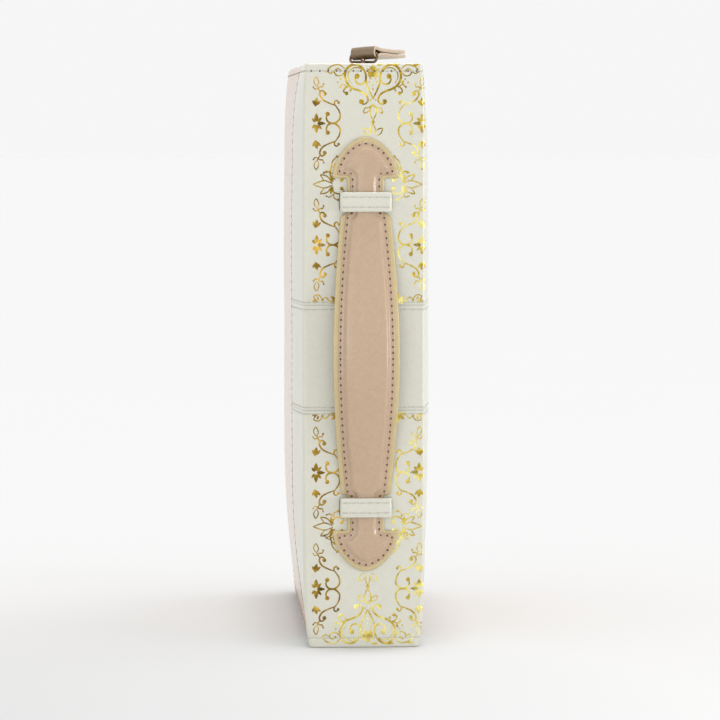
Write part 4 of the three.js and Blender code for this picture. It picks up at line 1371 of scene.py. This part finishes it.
def dress_frame():
    """Materials for the pieces whose CAD shape is shown as it is."""
    looks = {
        "spine_board": GREYBOARD,
        "spine_lining": LINING_CLOTH,
        "book_spine": BOOK_COVER,
        "endband_top": RIBBON,
        "endband_bottom": RIBBON,
        "ribbon_marker": RIBBON,
    }
    for name in SIDES:
        looks[f"{name}_board"] = GREYBOARD
        looks[f"{name}_lining"] = LINING_CLOTH
        looks[f"{name}_book_board"] = BOOK_COVER
        looks[f"{name}_book_sleeve"] = LINING_CLOTH
        looks[f"{name}_zip_stop"] = BRONZE
    for node, material in looks.items():
        mesh = frame["nodes"][node].data
        mesh.materials.clear()
        mesh.materials.append(material)


# ---- studio ----

WORLD_LIGHT = 0.925
# Painted shadow: the floor is darker round a spot left of the case and in front of it.
FLOOR_PAINTED_SHADOW = 0.58  # the floor's tone beside the case, and its two tones farther away
FLOOR_FAR = (0.677, 0.683)


def grey(tone):
    """A grey colour of one linear tone."""
    return (tone, tone, tone, 1.0)


def hang(name, kind, place, **settings):
    """A light at a place, aimed at the case."""
    light = bpy.data.lights.new(name, kind)
    for key, value in settings.items():
        setattr(light, key, value)
    lamp = bpy.data.objects.new(name, light)
    lamp.location = place
    aim = Vector((0, 0, 0.13)) - Vector(place)
    lamp.rotation_euler = aim.to_track_quat("-Z", "Y").to_euler()
    lamp.visible_camera = False
    bpy.context.scene.collection.objects.link(lamp)


def build_studio():
    """White room with a pale floor: a broad low sun, a narrow light above, a softbox and a fill."""
    scene = bpy.context.scene
    scene.view_settings.view_transform = "Standard"
    scene.world = bpy.data.worlds.new("studio")
    scene.world.use_nodes = True
    background = scene.world.node_tree.nodes["Background"]
    background.inputs["Color"].default_value = grey(1.0)
    background.inputs["Strength"].default_value = WORLD_LIGHT

    bpy.ops.mesh.primitive_plane_add(size=60)
    floor = bpy.context.object
    floor.name = "floor"
    look = Nodes("floor_paper", Roughness=0.9, Specular_IOR_Level=0.0)
    # Painted shadow: the floor's tone is darker near a spot left of and in front of the case, fading to
    # its far tones.
    plain = look.blend(look.noise(3.0), *map(grey, FLOOR_FAR))
    ends = {0: look.where, 1: (-0.2, -0.3, 0.0)}
    gap = look.add("ShaderNodeVectorMath", ends, operation="DISTANCE").outputs["Value"]
    look.colour(look.blend(look.spread(gap, 0.0, 1.0, 0.05, 0.34), grey(FLOOR_PAINTED_SHADOW), plain))
    floor.data.materials.append(look.material)

    hang("sun", "SUN", (1.5, 0.7, 1.3), energy=0.3, angle=math.radians(45))
    hang("top_light", "SUN", (0.02, 0.0, 1.5), energy=1.25, angle=math.radians(14))
    hang("softbox", "AREA", (1.25, -0.62, 0.14), energy=4.4, size=0.35)
    hang("fill", "AREA", (-0.6, -1.35, 0.03), energy=3.2, size=0.8)


def build_camera():
    """Long lens, a little left of the spine and looking slightly down."""
    camera = bpy.data.objects.new("camera", bpy.data.cameras.new("camera"))
    camera.location = (-0.0867, -1.58945, 0.227)
    aim = Vector((-0.0018, FACE_Y, 0.1277)) - camera.location
    camera.rotation_euler = aim.to_track_quat("-Z", "Y").to_euler()
    camera.data.lens = 170.9
    bpy.context.scene.collection.objects.link(camera)
    bpy.context.scene.camera = camera


build_camera()
build_skin()
for cover_name in SIDES:
    build_cover(cover_name)
    build_pages(cover_name)
    build_sleeve_seam(cover_name)
build_seam_stitches()
build_foil()
for half_name in ("top", "bottom"):
    build_strap(half_name)
for keeper_name, keeper_side in (("top", 1), ("bottom", -1)):
    build_keeper(keeper_name, keeper_side)
for cover_name in SIDES:
    build_zip(cover_name)
build_ring()
build_tab()
build_slider()
dress_frame()
build_studio()
